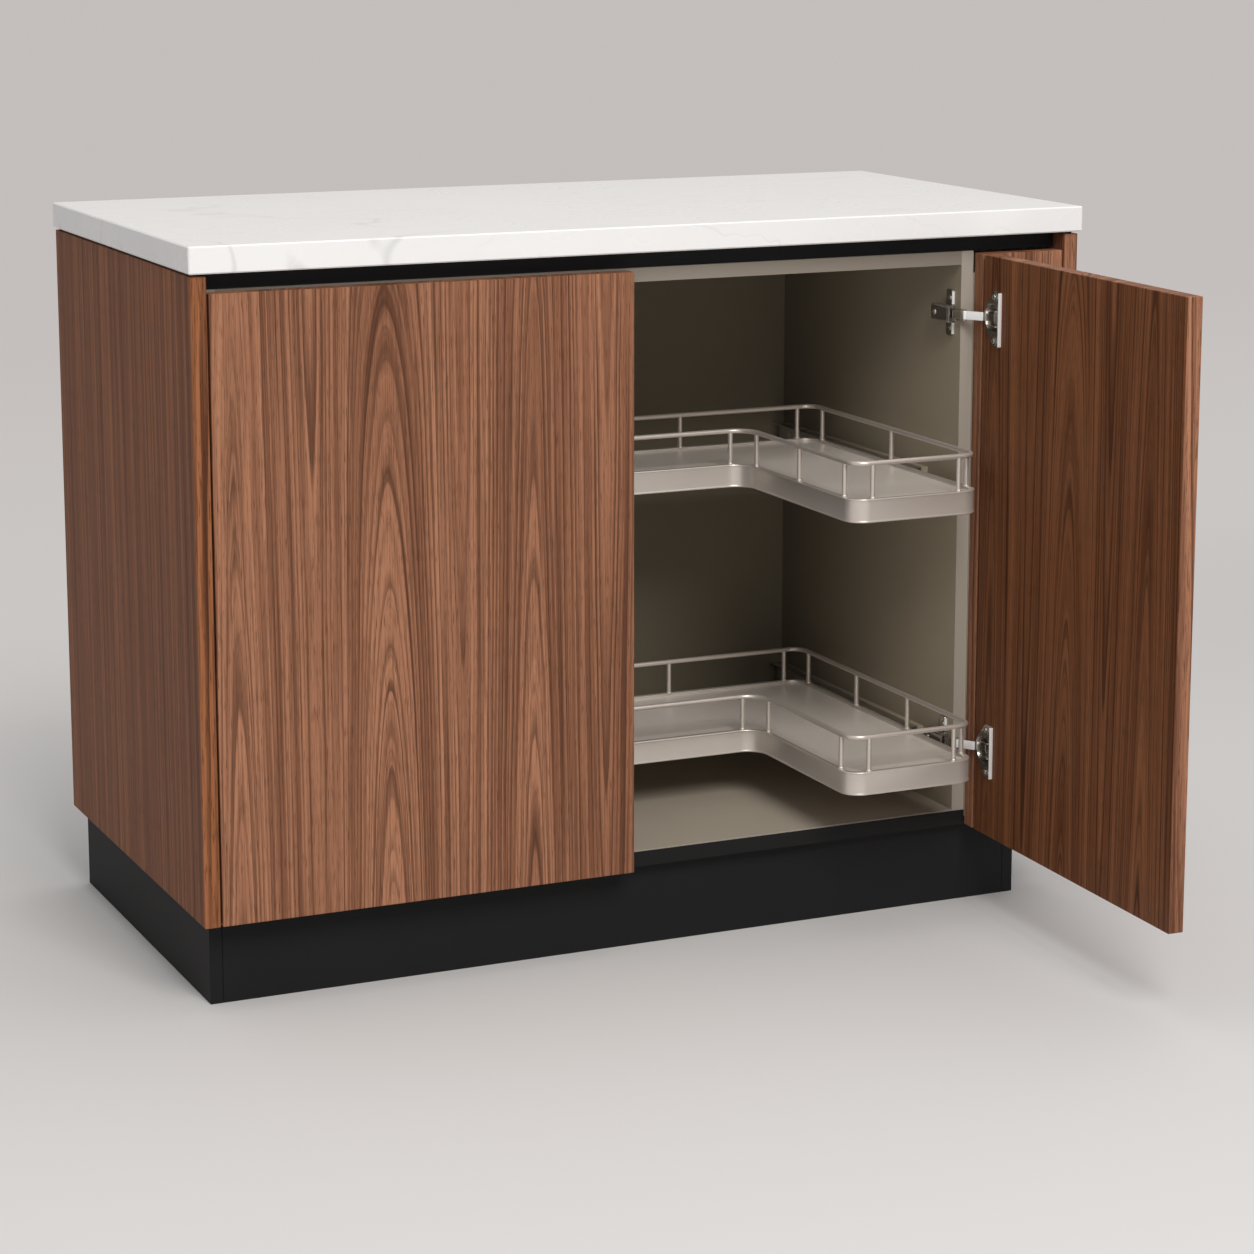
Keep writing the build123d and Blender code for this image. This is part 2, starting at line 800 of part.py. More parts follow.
def moving_half_height():
    """Half height of the moving member, inside the ball rows."""
    return runner_height / 2 - runner_wall - runner_gap


def make_moving_runners(top, depth, notch):
    """Moving members of a tray's two runners."""
    z = runner_level(top)
    rails = []
    for wall, way, _, _, front, back in runner_places(depth, notch):
        face = wall + way * runner_thickness
        rails.append(channel_section(face, -way, runner_wall, runner_moving_flange, moving_half_height(),
                                     front, back, z))
    return rails


def make_cages(top, depth, notch):
    """Ball cages between the members, with their two rows of balls."""
    z = runner_level(top)
    pocket_radius = ball_radius + ball_pocket_clearance
    row_rise = runner_height / 2 - runner_wall - runner_gap / 2
    pieces = []
    for wall, way, _, _, front, back in runner_places(depth, notch):
        y0 = front + cage_end_inset / 2
        y1 = back - cage_end_inset / 2
        web = wall + way * (runner_wall + cage_web_gap)
        cage = channel_section(web, way, cage_wall, cage_flange, row_rise + cage_wall / 2, y0, y1, z)
        ball_x = web + way * (cage_flange - ball_radius * 1.5)
        for y in spread(y0 + cage_ball_inset, y1 - cage_ball_inset, row_ball_count):
            for side in (-1, 1):
                ball_z = z + side * row_rise
                cage = cage - Pos(ball_x, y, ball_z) * Cylinder(pocket_radius, cage_wall * 2)
                pieces.append(Pos(ball_x, y, ball_z) * Sphere(ball_radius))
        pieces.append(cage)
    return pieces


def make_standoffs(top, depth, notch):
    """Packing board between the right wall and its fixed runner."""
    z = runner_level(top)
    _, _, front, back, _, _ = runner_places(depth, notch)[1]
    return board(inner_right - runner_standoff, inner_right, front, back,
                 z - runner_height / 2, z + runner_height / 2)


def make_guide(top):
    """Curved gusset on the right wall that carries the tray's edge near the front."""
    z1 = top - fascia_height - guide_clearance
    y0 = carcass_front + guide_setback
    x0 = inner_right - guide_reach
    low = Vector(inner_right, z1 - guide_drop)
    shelf = Vector(x0, z1 - guide_shelf)
    inner = Vector(inner_right - guide_shelf, z1 - guide_shelf)
    edge = Polyline((low.X, low.Y), (inner_right, z1), (x0, z1), (shelf.X, shelf.Y))
    curve = Bezier((shelf.X, shelf.Y), (inner.X, inner.Y), (low.X, low.Y))
    profile = make_face(Wire(edge.edges() + curve.edges()))
    return Plane(origin=(0, y0 + guide_width, 0), x_dir=(1, 0, 0), z_dir=(0, -1, 0)).location * extrude(
        profile, guide_width)


# Each body's nodes, at rest.
nodes = {}
dowels = carcass_dowels()
joint_screws = carcass_screws()
panel_screws = end_panel_screws()
stile_screws = front_screws()
rail_screws = channel_screws()
blocks, block_screws = corner_blocks()
trays = {"upper": (upper_tray_top, upper_tray_depth, upper_tray_depth - upper_side_leg_depth),
         "lower": (lower_tray_top, lower_tray_depth, lower_tray_depth - lower_side_leg_depth)}
all_runner_screws = [piece for tray in trays.values() for piece in runner_screws(*tray)]
wall_screws = [piece for z in hinge_levels.values() for piece in plate_screws(z)]

nodes["worktop"] = make_worktop()
nodes["worktop_spacers"] = make_worktop_spacers()
nodes["end_panel_left"] = without(
    edged_board(0, end_panel_thickness, 0, body_depth, base_z, panel_top), panel_screws)
nodes["end_panel_right"] = without(
    edged_board(bay_right, body_width, 0, body_depth, base_z, panel_top), panel_screws)
nodes["carcass_side_left"] = without(
    make_side(end_panel_thickness, inner_left),
    dowels + joint_screws + panel_screws + stile_screws + all_runner_screws)
nodes["carcass_side_right"] = without(
    make_side(inner_right, filler_left), dowels + joint_screws + all_runner_screws + wall_screws)
nodes["carcass_bottom"] = without(make_bottom(), dowels + joint_screws)
nodes["back_panel"] = make_back()
nodes["front_top_rail"] = without(make_front_rail(), dowels + joint_screws + rail_screws)
nodes["rear_top_rail"] = without(make_rear_rail(), dowels + joint_screws)
nodes["grip_channel"] = without(make_channel(), rail_screws)
nodes["channel_screws"] = group(rail_screws)
nodes["bottom_edge_strip"] = make_edge_strip()
nodes["fixed_front_panel"] = without(make_fixed_panel(), stile_screws)
nodes["blind_stile"] = without(make_stile(), stile_screws)
nodes["front_packers"] = group([without(make_packers(), stile_screws)])
nodes["panel_brackets"] = group([without(bracket, stile_screws) for bracket in make_brackets()])
nodes["front_fixing_screws"] = group(stile_screws)
nodes["filler_panel"] = make_filler()
nodes["filler_cleats"] = group([without(make_cleats(), panel_screws)])
nodes["bay_boards"] = group(bay_boards())
nodes["end_panel_screws"] = group(panel_screws)
nodes["carcass_dowels"] = group(dowels)
nodes["carcass_screws"] = group(joint_screws)
plinth_left_face, plinth_right_face, plinth_front_face, plinth_rear_face = plinth_planes()
nodes["plinth_front"] = without(make_plinth_cross(plinth_front_face), block_screws)
nodes["plinth_rear"] = without(make_plinth_cross(plinth_rear_face - plinth_board), block_screws)
nodes["plinth_left"] = without(make_plinth_side(plinth_left_face), block_screws)
nodes["plinth_right"] = without(make_plinth_side(plinth_right_face - plinth_board), block_screws)
nodes["plinth_bearers"] = make_bearers()
nodes["plinth_corner_blocks"] = group([without(block, block_screws) for block in blocks])
nodes["plinth_screws"] = group(block_screws)
for name, z in hinge_levels.items():
    nodes["hinge_plate_" + name] = make_plate(z)
    nodes["hinge_arm_" + name] = make_arm(z)
nodes["hinge_wall_screws"] = group(wall_screws + [make_adjuster(z) for z in hinge_levels.values()])
nodes["hinge_pins"] = group([make_pin(z) for z in hinge_levels.values()])
nodes["tray_guide"] = make_guide(upper_tray_top)
nodes["runner_standoffs"] = group([without(make_standoffs(*tray), all_runner_screws) for tray in trays.values()])
for name, tray in trays.items():
    nodes["runner_fixed_" + name] = group(make_fixed_runners(*tray))
nodes["runner_screws"] = group(all_runner_screws)

# Pieces that swing with the door, opened to the pose of the photograph.
door_nodes = {"door_panel": without(make_door(), [s for z in hinge_levels.values() for s in cup_screws(z)]),
              "hinge_cup_screws": group([s for z in hinge_levels.values() for s in cup_screws(z)])}
for name, z in hinge_levels.items():
    door_nodes["hinge_cup_" + name] = make_cup(z)
for name, shape in door_nodes.items():
    nodes[name] = shape.rotate(hinge_axis, rest_angle)
pin_axis = Axis((pin_x, pin_y, 0), (0, 0, 1))
for name, z in hinge_levels.items():
    nodes["hinge_link_" + name] = make_link(z).rotate(pin_axis, link_angle)

# Pieces that slide out with the trays. The ball cages travel half as far.
for name, tray in trays.items():
    gallery = make_gallery(*tray)
    out = Pos(0, -tray_advance, 0)
    nodes["tray_fascia_" + name] = out * make_fascia(*tray)
    nodes["tray_deck_" + name] = out * make_deck(*tray)
    nodes["tray_gallery_" + name] = out * gallery
    nodes["tray_posts_" + name] = out * group(make_posts(*tray, gallery))
    nodes["runner_moving_" + name] = out * group(make_moving_runners(*tray))
    nodes["ball_cages_" + name] = Pos(0, -tray_advance / 2, 0) * group(make_cages(*tray))

# The origin is the middle of the whole part's footprint, on the floor.
whole = group(nodes.values()).bounding_box()
shift = Pos(-(whole.min.X + whole.max.X) / 2, -(whole.min.Y + whole.max.Y) / 2, 0)
for name, shape in nodes.items():
    export_step(shift * shape, "parts/" + name + ".step")
print("nodes", len(nodes))
print("shift", shift.position)
print("hinge axis", shift.position + Vector(door_right + axis_inset, axis_depth, 0))
print("pin axis", shift.position + Vector(pin_x, pin_y, 0))
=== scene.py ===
"""Looks of the blind corner base cabinet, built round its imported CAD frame."""

import json
import logging
import math
from dataclasses import dataclass
from enum import Enum
from functools import lru_cache
from typing import Iterable, NamedTuple, Sequence

import bmesh
import bpy
import numpy as np
from mathutils import Euler, Matrix, Vector


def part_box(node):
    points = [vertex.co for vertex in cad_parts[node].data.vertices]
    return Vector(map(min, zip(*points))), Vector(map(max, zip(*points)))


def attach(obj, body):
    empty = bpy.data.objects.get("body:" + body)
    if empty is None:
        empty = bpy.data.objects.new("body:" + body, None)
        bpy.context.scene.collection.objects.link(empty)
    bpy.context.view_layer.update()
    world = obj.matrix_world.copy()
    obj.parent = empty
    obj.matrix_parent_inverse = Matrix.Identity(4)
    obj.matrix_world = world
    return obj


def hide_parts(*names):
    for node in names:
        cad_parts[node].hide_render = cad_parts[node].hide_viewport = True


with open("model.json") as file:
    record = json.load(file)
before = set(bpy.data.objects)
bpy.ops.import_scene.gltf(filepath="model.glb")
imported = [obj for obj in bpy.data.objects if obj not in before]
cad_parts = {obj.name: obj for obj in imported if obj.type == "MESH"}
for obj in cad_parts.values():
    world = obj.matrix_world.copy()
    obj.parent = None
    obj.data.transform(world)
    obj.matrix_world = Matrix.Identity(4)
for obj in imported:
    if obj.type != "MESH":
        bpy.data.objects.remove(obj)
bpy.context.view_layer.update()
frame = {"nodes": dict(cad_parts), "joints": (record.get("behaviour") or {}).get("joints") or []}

LOG = logging.getLogger("cabinet")
Colour = tuple[float, float, float]
Point = tuple[float, float]
SHARP_ANGLE = math.radians(35.0)
DOOR_OPENING = math.radians(88.0)
LINK_OPENING = math.radians(123.0)


class Axis(Enum):
    """Row axis, as its place in a vector."""

    X = 0
    Y = 1
    Z = 2


class Way(Enum):
    """Row axis that a slab's thickness runs along, as where (across, up, through) go in a point."""

    X = (2, 0, 1)
    Y = (0, 2, 1)
    Z = (0, 1, 2)

    def point(self, across: float, up: float, through: float) -> Vector:
        """Point of the row frame for a place on the slab."""
        place = (across, up, through)
        return Vector([place[index] for index in self.value])


class Sheen(Enum):
    """How a surface was finished, as (roughness, coat weight)."""

    MATT = (0.62, 0.0)
    SATIN = (0.36, 0.0)
    LACQUER = (0.42, 0.22)
    POLISHED = (0.17, 0.0)


class Sock:
    """Output socket of a shader graph that can be used in sums."""

    def __init__(self, graph: "Graph", socket: bpy.types.NodeSocket) -> None:
        """Keep the socket and the graph that it belongs to."""
        self.graph = graph
        self.socket = socket

    def _join(self, operation: str, *values: object) -> "Sock":
        """One Math node over the values."""
        return self.graph.maths(operation, *values)

    def __add__(self, other: object) -> "Sock":
        """Sum."""
        return self._join("ADD", self, other)

    __radd__ = __add__

    def __sub__(self, other: object) -> "Sock":
        """Difference."""
        return self._join("SUBTRACT", self, other)

    def __rsub__(self, other: object) -> "Sock":
        """Difference, from the right."""
        return self._join("SUBTRACT", other, self)

    def __mul__(self, other: object) -> "Sock":
        """Product."""
        return self._join("MULTIPLY", self, other)

    __rmul__ = __mul__

    def __truediv__(self, other: object) -> "Sock":
        """Quotient."""
        return self._join("DIVIDE", self, other)

    def __rtruediv__(self, other: object) -> "Sock":
        """Quotient, from the right."""
        return self._join("DIVIDE", other, self)

    def __pow__(self, other: object) -> "Sock":
        """Power."""
        return self._join("POWER", self, other)

    def __rpow__(self, other: object) -> "Sock":
        """Power, from the right."""
        return self._join("POWER", other, self)

    def __neg__(self) -> "Sock":
        """Negative."""
        return self._join("MULTIPLY", self, -1.0)

    def __abs__(self) -> "Sock":
        """Size without sign."""
        return self._join("ABSOLUTE", self)

    def fract(self) -> "Sock":
        """Part after the point."""
        return self._join("FRACT", self)

    def floor(self) -> "Sock":
        """Whole part."""
        return self._join("FLOOR", self)

    def step(self, low: float, high: float) -> "Sock":
        """Smooth step from 0 at low to 1 at high.

        Args:
            low: Value where the step starts.
            high: Value where it ends.

        Returns:
            The stepped value.
        """
        node = self.graph.node("ShaderNodeMapRange", {"interpolation_type": "SMOOTHSTEP"},
                               {"Value": self, "From Min": low, "From Max": high})
        return Sock(self.graph, node.outputs["Result"])


class Graph:
    """Shader graph of one material."""

    def __init__(self, name: str, turn: float = 0.0, pivot: Sequence[float] = (0.0, 0.0, 0.0)) -> None:
        """Start an empty material.

        Args:
            name: Name of the material.
            turn: Angle about the upright that turns places back before the pattern reads them.
            pivot: Point that the turn leaves where it is.
        """
        self.material = bpy.data.materials.new(name)
        self.material.use_nodes = True
        self.tree = self.material.node_tree
        self.tree.nodes.clear()
        self.place = Sock(self, self.node("ShaderNodeTexCoord").outputs["Object"])
        if turn:
            centre = Vector(pivot)
            shift = centre - Matrix.Rotation(turn, 3, "Z") @ centre
            turned = self.node("ShaderNodeMapping", inputs={
                "Vector": self.place, "Location": shift, "Rotation": (0.0, 0.0, turn)})
            self.place = Sock(self, turned.outputs[0])

    def node(self, kind: str, settings: dict | None = None, inputs: dict | None = None) -> bpy.types.Node:
        """Add a node.

        Args:
            kind: Node type.
            settings: Properties to set.
            inputs: Values or sockets for its inputs, by name or index.

        Returns:
            The new node.
        """
        made = self.tree.nodes.new(kind)
        for key, value in (settings or {}).items():
            setattr(made, key, value)
        for key, value in (inputs or {}).items():
            self.feed(made.inputs[key], value)
        return made

    def feed(self, target: bpy.types.NodeSocket, value: object) -> None:
        """Link a socket into an input, or set the input's own value."""
        if isinstance(value, Sock):
            self.tree.links.new(value.socket, target)
        elif isinstance(value, tuple) and target.type == "RGBA":
            target.default_value = (*value, 1.0)
        else:
            target.default_value = value

    def maths(self, operation: str, *values: object) -> Sock:
        """Add a Math node over up to three values."""
        made = self.node("ShaderNodeMath", {"operation": operation}, dict(enumerate(values)))
        return Sock(self, made.outputs[0])

    def split(self, vector: Sock | None = None) -> tuple[Sock, Sock, Sock]:
        """Components of a vector, by default the object's own place."""
        made = self.node("ShaderNodeSeparateXYZ", inputs={0: vector or self.place})
        return tuple(Sock(self, out) for out in made.outputs)

    def joined(self, x: object, y: object, z: object) -> Sock:
        """Vector of three values."""
        return Sock(self, self.node("ShaderNodeCombineXYZ", inputs={0: x, 1: y, 2: z}).outputs[0])

    def noise(self, vector: Sock, scale: float = 1.0, detail: float = 2.0, rough: float = 0.5,
              twist: float = 0.0) -> Sock:
        """Noise between 0 and 1.

        Args:
            vector: Place to look up.
            scale: Features per unit.
            detail: Octaves.
            rough: Weight of the finer octaves.
            twist: Distortion.

        Returns:
            The noise value.
        """
        made = self.node("ShaderNodeTexNoise", inputs={
            "Vector": vector, "Scale": scale, "Detail": detail, "Roughness": rough, "Distortion": twist})
        return Sock(self, made.outputs["Fac"])

    def blend(self, factor: object, low: object, high: object, mode: str = "MIX") -> Sock:
        """Mix two colours by a factor."""
        made = self.node("ShaderNodeMix", {"data_type": "RGBA", "blend_type": mode, "clamp_factor": True})
        for key, value in ((0, factor), (6, low), (7, high)):
            self.feed(made.inputs[key], value)
        return Sock(self, made.outputs[2])

    def bump(self, height: Sock, distance: float, strength: float = 1.0) -> Sock:
        """Normal bent by a height, in metres at full height."""
        made = self.node("ShaderNodeBump", inputs={"Height": height, "Distance": distance, "Strength": strength})
        return Sock(self, made.outputs["Normal"])

    def surface(self, **inputs: object) -> bpy.types.Material:
        """Finish the material with a Principled shader.

        Args:
            inputs: Values or sockets by input name, with low lines for spaces.

        Returns:
            The material.
        """
        shader = self.node("ShaderNodeBsdfPrincipled", inputs={
            key.replace("_", " "): value for key, value in inputs.items()})
        out = self.node("ShaderNodeOutputMaterial")
        self.tree.links.new(shader.outputs[0], out.inputs["Surface"])
        return self.material


def scaled(colour: Colour, factor: float) -> Colour:
    """Colour made lighter or darker."""
    return tuple(factor * part for part in colour)


class Cut(NamedTuple):
    """How a veneer leaf was cut from its log.

    Attributes:
        centre: Place across the leaf where a crown's arches point up, in metres.
        period: Distance to the next such crown, with one that points down between them.
        turn: How sharply the rings turn at a crown, up to 1.
        slope: Rise of the growth rings along the trunk at a crown.
        wander: How far the rings stray, in metres.
    """

    centre: float
    period: float = 0.175
    turn: float = 0.88
    slope: float = 0.085
    wander: float = 0.016


CROWN = Cut(-0.330)
STRAIGHT = Cut(2.0, 8.0, 0.9, 0.02, 0.016)


@dataclass(frozen=True)
class Walnut:
    """Lacquered walnut veneer with upright grain.

    Attributes:
        name: Material name.
        across: Row axis that runs across the leaf.
        cut: How the leaf was cut.
        seed: Offset that gives each leaf its own figure.
        painted_shade: Factors that darken the colours as painted shade, for a face that the lamps light too
            brightly.
        inner: Factors that darken the colours of the door's inner face as painted shade, or None where there is
            none.
    """

    name: str
    across: Axis
    cut: Cut = STRAIGHT
    seed: float = 0.0
    painted_shade: Colour = (1.0, 1.0, 1.0)
    inner: Colour | None = None

    def build(self) -> bpy.types.Material:
        """Make the veneer's material."""
        # Places are turned back about the hinge so that the painted shade on the inner face follows the open door.
        hinge = joint_place("door_hinge")
        g = Graph(self.name, -DOOR_OPENING, hinge) if self.inner else Graph(self.name)
        parts = g.split()
        u = parts[self.across.value] - self.cut.centre
        w = parts[1 - self.across.value]
        z = parts[2]
        q = self.rings(g, u, w, z)
        zs = z + self.seed
        band = g.noise(g.joined(q * 70.0, w * 9.0 + u * 3.0, zs * 0.5), 1.0, 2.0, 0.6)
        broad = g.noise(g.joined(q * 14.0, w * 5.0 + u * 4.0, zs * 0.35 + 4.0), 1.0, 1.0)
        phase = q * 190.0 + g.noise(g.joined(q * 80.0, zs * 0.5, 3.0), 1.0, 1.0) * 2.6
        tooth = phase.fract()
        late = tooth.step(0.30, 0.90) * (1.0 - tooth.step(0.90, 1.0))
        vary = g.noise(g.joined(phase.floor() * 3.71, u * 5.0, zs * 1.3), 1.0, 1.0).step(0.36, 0.66)
        streak = g.noise(g.joined(q * 300.0, w * 60.0 + u * 7.0, zs * 1.3), 1.0, 3.0, 0.66)
        fibre = g.noise(g.joined(u * 820.0, w * 500.0, zs * 9.0), 1.0, 2.0, 0.6)
        pores = g.noise(g.joined(u * 1500.0, w * 900.0, zs * 42.0), 1.0, 1.0, 0.5).step(0.58, 0.70)
        # The shade factors darken all three tones as painted shade.
        dark, mid, light = (tuple(part * factor for part, factor in zip(colour, self.painted_shade)) for colour in (
            (0.066, 0.0240, 0.0125), (0.232, 0.0965, 0.0510), (0.430, 0.197, 0.109)))
        tone = g.blend(band.step(0.32, 0.68), mid, light)
        tone = g.blend(broad.step(0.40, 0.70) * 0.55, tone, mid)
        tone = g.blend(streak.step(0.50, 0.70) * 0.72, tone, dark)
        tone = g.blend((1.0 - streak.step(0.30, 0.46)) * 0.55, tone, light)
        tone = g.blend(late * (0.14 + vary * 0.66), tone, dark)
        tone = g.blend(fibre.step(0.45, 0.70) * 0.42, tone, dark)
        tone = g.blend(pores * 0.62, tone, dark)
        # Painted shade: the inner face of the door is darkened.
        if self.inner:
            back = self.painted_shade_mask(w)
            tone = g.blend(back, tone, g.blend(1.0, tone, self.inner, "MULTIPLY"))
        height = fibre * 0.5 - pores * 0.6 - late * 0.15
        return g.surface(Base_Color=tone, Roughness=0.50 + fibre * 0.10 - late * 0.04, Specular_IOR_Level=0.13,
                         Normal=g.bump(height, 0.00011))

    def rings(self, g: Graph, u: Sock, w: Sock, z: Sock) -> Sock:
        """Depth in the log at a place on the leaf, in metres: its contours are the growth rings.

        Args:
            g: Graph that it is made in.
            u: Place across the leaf from the crown's centre.
            w: Place through the leaf.
            z: Height.

        Returns:
            The depth.
        """
        zs = z + self.seed
        drift = g.noise(g.joined(u * 6.5, w * 3.0, zs * 0.9), 1.0, 2.0, 0.45) - 0.5
        waver = g.noise(g.joined(u * 26.0, w * 12.0, zs * 3.4), 1.0, 2.0, 0.5) - 0.5
        stray = g.noise(g.joined(u * 4.0, w * 2.0, zs * 0.5 + 9.0), 1.0, 1.0) - 0.5
        span = self.cut.period / math.tau
        turned = g.maths("COSINE", (u + stray * self.cut.wander) * (1.0 / span))
        fold = g.maths("ARCSINE", turned * self.cut.turn) * (span * 1.3)
        near = 1.0 / ((u * 8.0) ** 2.0 + 1.0)
        crown = (turned * 0.5 + 0.5) ** 2.0 * near
        valley = (0.5 - turned * 0.5) ** 2.0
        lift = (crown + valley * 0.10 + 0.04) * (z - 0.42) * self.cut.slope
        return fold - lift + drift * self.cut.wander + waver * 0.0035 + w * 0.4

    def painted_shade_mask(self, through: Sock) -> Sock:
        """Mask of the inner face that takes the painted shade, by the place through the closed leaf."""
        low = joint_place("door_hinge").y - DOOR.axis_depth
        return (through - low).step(DOOR.thickness - 0.0006, DOOR.thickness - 0.0003)


@dataclass(frozen=True)
class Quartz:
    """Polished engineered stone with faint veins and fine specks."""

    name: str = "quartz"
    base: Colour = (0.83, 0.82, 0.805)
    vein: Colour = (0.42, 0.42, 0.42)

    def build(self) -> bpy.types.Material:
        """Make the stone's material."""
        g = Graph(self.name)
        x, y, z = g.split()
        bend = g.noise(g.place, 2.0, 3.0, 0.55) - 0.5
        path = g.noise(g.joined(x * 1.3 + bend * 0.7, y * 2.9 + bend * 1.1 + x * 0.8, z * 1.5), 1.25, 3.0, 0.5)
        vein = 1.0 - abs(path - 0.5).step(0.0, 0.0075)
        patch = g.noise(g.place, 1.9, 2.0).step(0.44, 0.62)
        thin = abs(g.noise(g.joined(x * 1.7 + 3.0, y * 3.4 + 7.0 + bend, z * 2.0), 1.9, 4.0, 0.55) - 0.52)
        second = 1.0 - thin.step(0.0, 0.0055)
        haze = g.noise(g.place, 5.0, 4.0, 0.6).step(0.35, 0.75)
        speck = g.noise(g.place, 1500.0, 1.0).step(0.70, 0.80)
        tone = g.blend(haze * 0.22, self.base, scaled(self.base, 0.88))
        tone = g.blend(vein * patch * 0.34, tone, self.vein)
        tone = g.blend(second * (1.0 - patch) * 0.15, tone, self.vein)
        tone = g.blend(speck * 0.16, tone, (0.55, 0.55, 0.55))
        return g.surface(Base_Color=tone, Roughness=0.26 + haze * 0.08, Specular_IOR_Level=0.5)


@dataclass(frozen=True)
class Metal:
    """Bare or plated metal, brushed along one axis or plain.

    Attributes:
        name: Material name.
        colour: Colour of its reflections.
        sheen: How it was finished.
        brushed: Row axis of the brush marks, or None for a bead-blasted or plain surface.
        grain: Depth of the marks, from 0 to 1.
        bare: How far it is bare metal, below 1 for a metallic lacquer.
    """

    name: str
    colour: Colour
    sheen: Sheen = Sheen.SATIN
    brushed: Axis | None = None
    grain: float = 0.5
    bare: float = 1.0

    def build(self) -> bpy.types.Material:
        """Make the metal's material."""
        g = Graph(self.name)
        parts = list(g.split())
        scale = [1400.0, 1400.0, 1400.0]
        if self.brushed is not None:
            scale[self.brushed.value] = 18.0
        marks = g.noise(g.joined(*(part * s for part, s in zip(parts, scale))), 1.0, 2.0, 0.6)
        cloud = g.noise(g.place, 9.0, 3.0)
        rough, _ = self.sheen.value
        tone = g.blend(cloud.step(0.3, 0.7) * 0.25 + marks * 0.25 * self.grain, self.colour,
                       scaled(self.colour, 0.82))
        return g.surface(Base_Color=tone, Metallic=self.bare,
                         Roughness=rough + (marks - 0.5) * 0.22 * self.grain + (cloud - 0.5) * 0.06,
                         Normal=g.bump(marks, 0.00004 * self.grain + 0.00001))


@dataclass(frozen=True)
class Coated:
    """Laminate, melamine, paint or plastic with a fine grain.

    Attributes:
        name: Material name.
        colour: Main colour.
        second: Colour of its faint cloudiness.
        sheen: How it was finished.
        texture: Size of its grain, in grains a metre.
        gloss: Strength of its reflections.
        band: Depth in front of which the edge band lies and its colour, or None where there is none.
        painted_light_fall: Factors on the colour at the front and at the rear of the inside, painting in light that
            falls off into the cabinet, or None where it is even.
    """

    name: str
    colour: Colour
    second: Colour
    sheen: Sheen = Sheen.MATT
    texture: float = 900.0
    gloss: float = 0.5
    band: tuple[float, Colour] | None = None
    painted_light_fall: tuple[float, float] | None = None

    def build(self) -> bpy.types.Material:
        """Make the coating's material."""
        g = Graph(self.name)
        cloud = g.noise(g.place, 3.5, 4.0, 0.55)
        grain = g.noise(g.place, self.texture, 2.0, 0.6)
        rough, coat = self.sheen.value
        tone = g.blend(cloud.step(0.3, 0.7), self.colour, self.second)
        # Paler at the front and darker at the rear: painted light that falls off into the cabinet.
        if self.painted_light_fall:
            front, rear = (scaled((1.0, 1.0, 1.0), factor) for factor in self.painted_light_fall)
            tone = g.blend(1.0, tone, g.blend(g.split()[1].step(-0.05, 0.45), front, rear), "MULTIPLY")
        if self.band:
            limit, colour = self.band
            tone = g.blend(g.split()[1].step(limit, limit + 0.0002), colour, tone)
        tone = g.blend(grain.step(0.5, 0.8) * 0.12, tone, scaled(self.colour, 0.7))
        return g.surface(Base_Color=tone, Roughness=rough + (grain - 0.5) * 0.12 + (cloud - 0.5) * 0.06,
                         Coat_Weight=coat, Specular_IOR_Level=self.gloss, Normal=g.bump(grain, 0.00005))


@dataclass(frozen=True)
class RawWood:
    """Plain softwood or beech with straight grain along one axis."""

    name: str
    colour: Colour
    along: Axis = Axis.X

    def build(self) -> bpy.types.Material:
        """Make the timber's material."""
        g = Graph(self.name)
        scale = [90.0, 90.0, 90.0]
        scale[self.along.value] = 2.5
        streak = g.noise(g.joined(*(part * s for part, s in zip(g.split(), scale))), 1.0, 4.0, 0.6)
        tone = g.blend(streak.step(0.3, 0.75), self.colour, scaled(self.colour, 0.55))
        return g.surface(Base_Color=tone, Roughness=0.7, Normal=g.bump(streak, 0.0002))


Finish = Walnut | Quartz | Metal | Coated | RawWood


@dataclass(frozen=True)
class DoorPlan:
    """How the closed door lies about its hinge axis, in metres.

    Attributes:
        axis_depth: Axis behind the front plane.
        axis_inset: Axis beyond the door's hinge edge.
        thickness: Thickness of the leaf.
    """

    axis_depth: float = 0.008
    axis_inset: float = 0.014
    thickness: float = 0.019


DOOR = DoorPlan()


def joint_place(name: str) -> Vector:
    """Point that a joint of the frame turns about."""
    return Vector(next(joint["pos_m"] for joint in frame["joints"] if joint["name"] == name))


def turned_about(pivot: Vector, angle: float) -> Matrix:
    """Turn by an angle about an upright axis through a point."""
    there = Matrix.Translation(pivot)
    return there @ Matrix.Rotation(angle, 4, "Z") @ there.inverted()


@lru_cache(maxsize=None)
def material_of(finish: Finish) -> bpy.types.Material:
    """Material of a finish, made once."""
    return finish.build()


def paint(finish: Finish, names: Iterable[str]) -> None:
    """Give CAD nodes a finish.

    Args:
        finish: The finish to use.
        names: CAD nodes that take it.
    """
    for name in names:
        node = frame["nodes"][name]
        node.data.materials.clear()
        node.data.materials.append(material_of(finish))


def rounded(corners: Sequence[tuple[float, float, float]], steps: int = 6) -> list[Point]:
    """Closed outline whose corners are rounded.

    Args:
        corners: Each corner's place and radius.
        steps: Pieces of each arc.

    Returns:
        Points of the outline, as many for each round corner.
    """
    points: list[Point] = []
    for index, (x, y, radius) in enumerate(corners):
        here = Vector((x, y))
        if not radius:
            points.append((x, y))
            continue
        before = (Vector(corners[index - 1][:2]) - here).normalized()
        after = (Vector(corners[(index + 1) % len(corners)][:2]) - here).normalized()
        half = before.angle(after) / 2
        start = here + before * radius / math.tan(half)
        centre = here + (before + after).normalized() * radius / math.sin(half)
        sweep = (start - centre).angle_signed(here + after * radius / math.tan(half) - centre)
        for step in range(steps + 1):
            arm = Matrix.Rotation(-sweep * step / steps, 2) @ (start - centre)
            points.append(tuple(centre + arm))
    return points


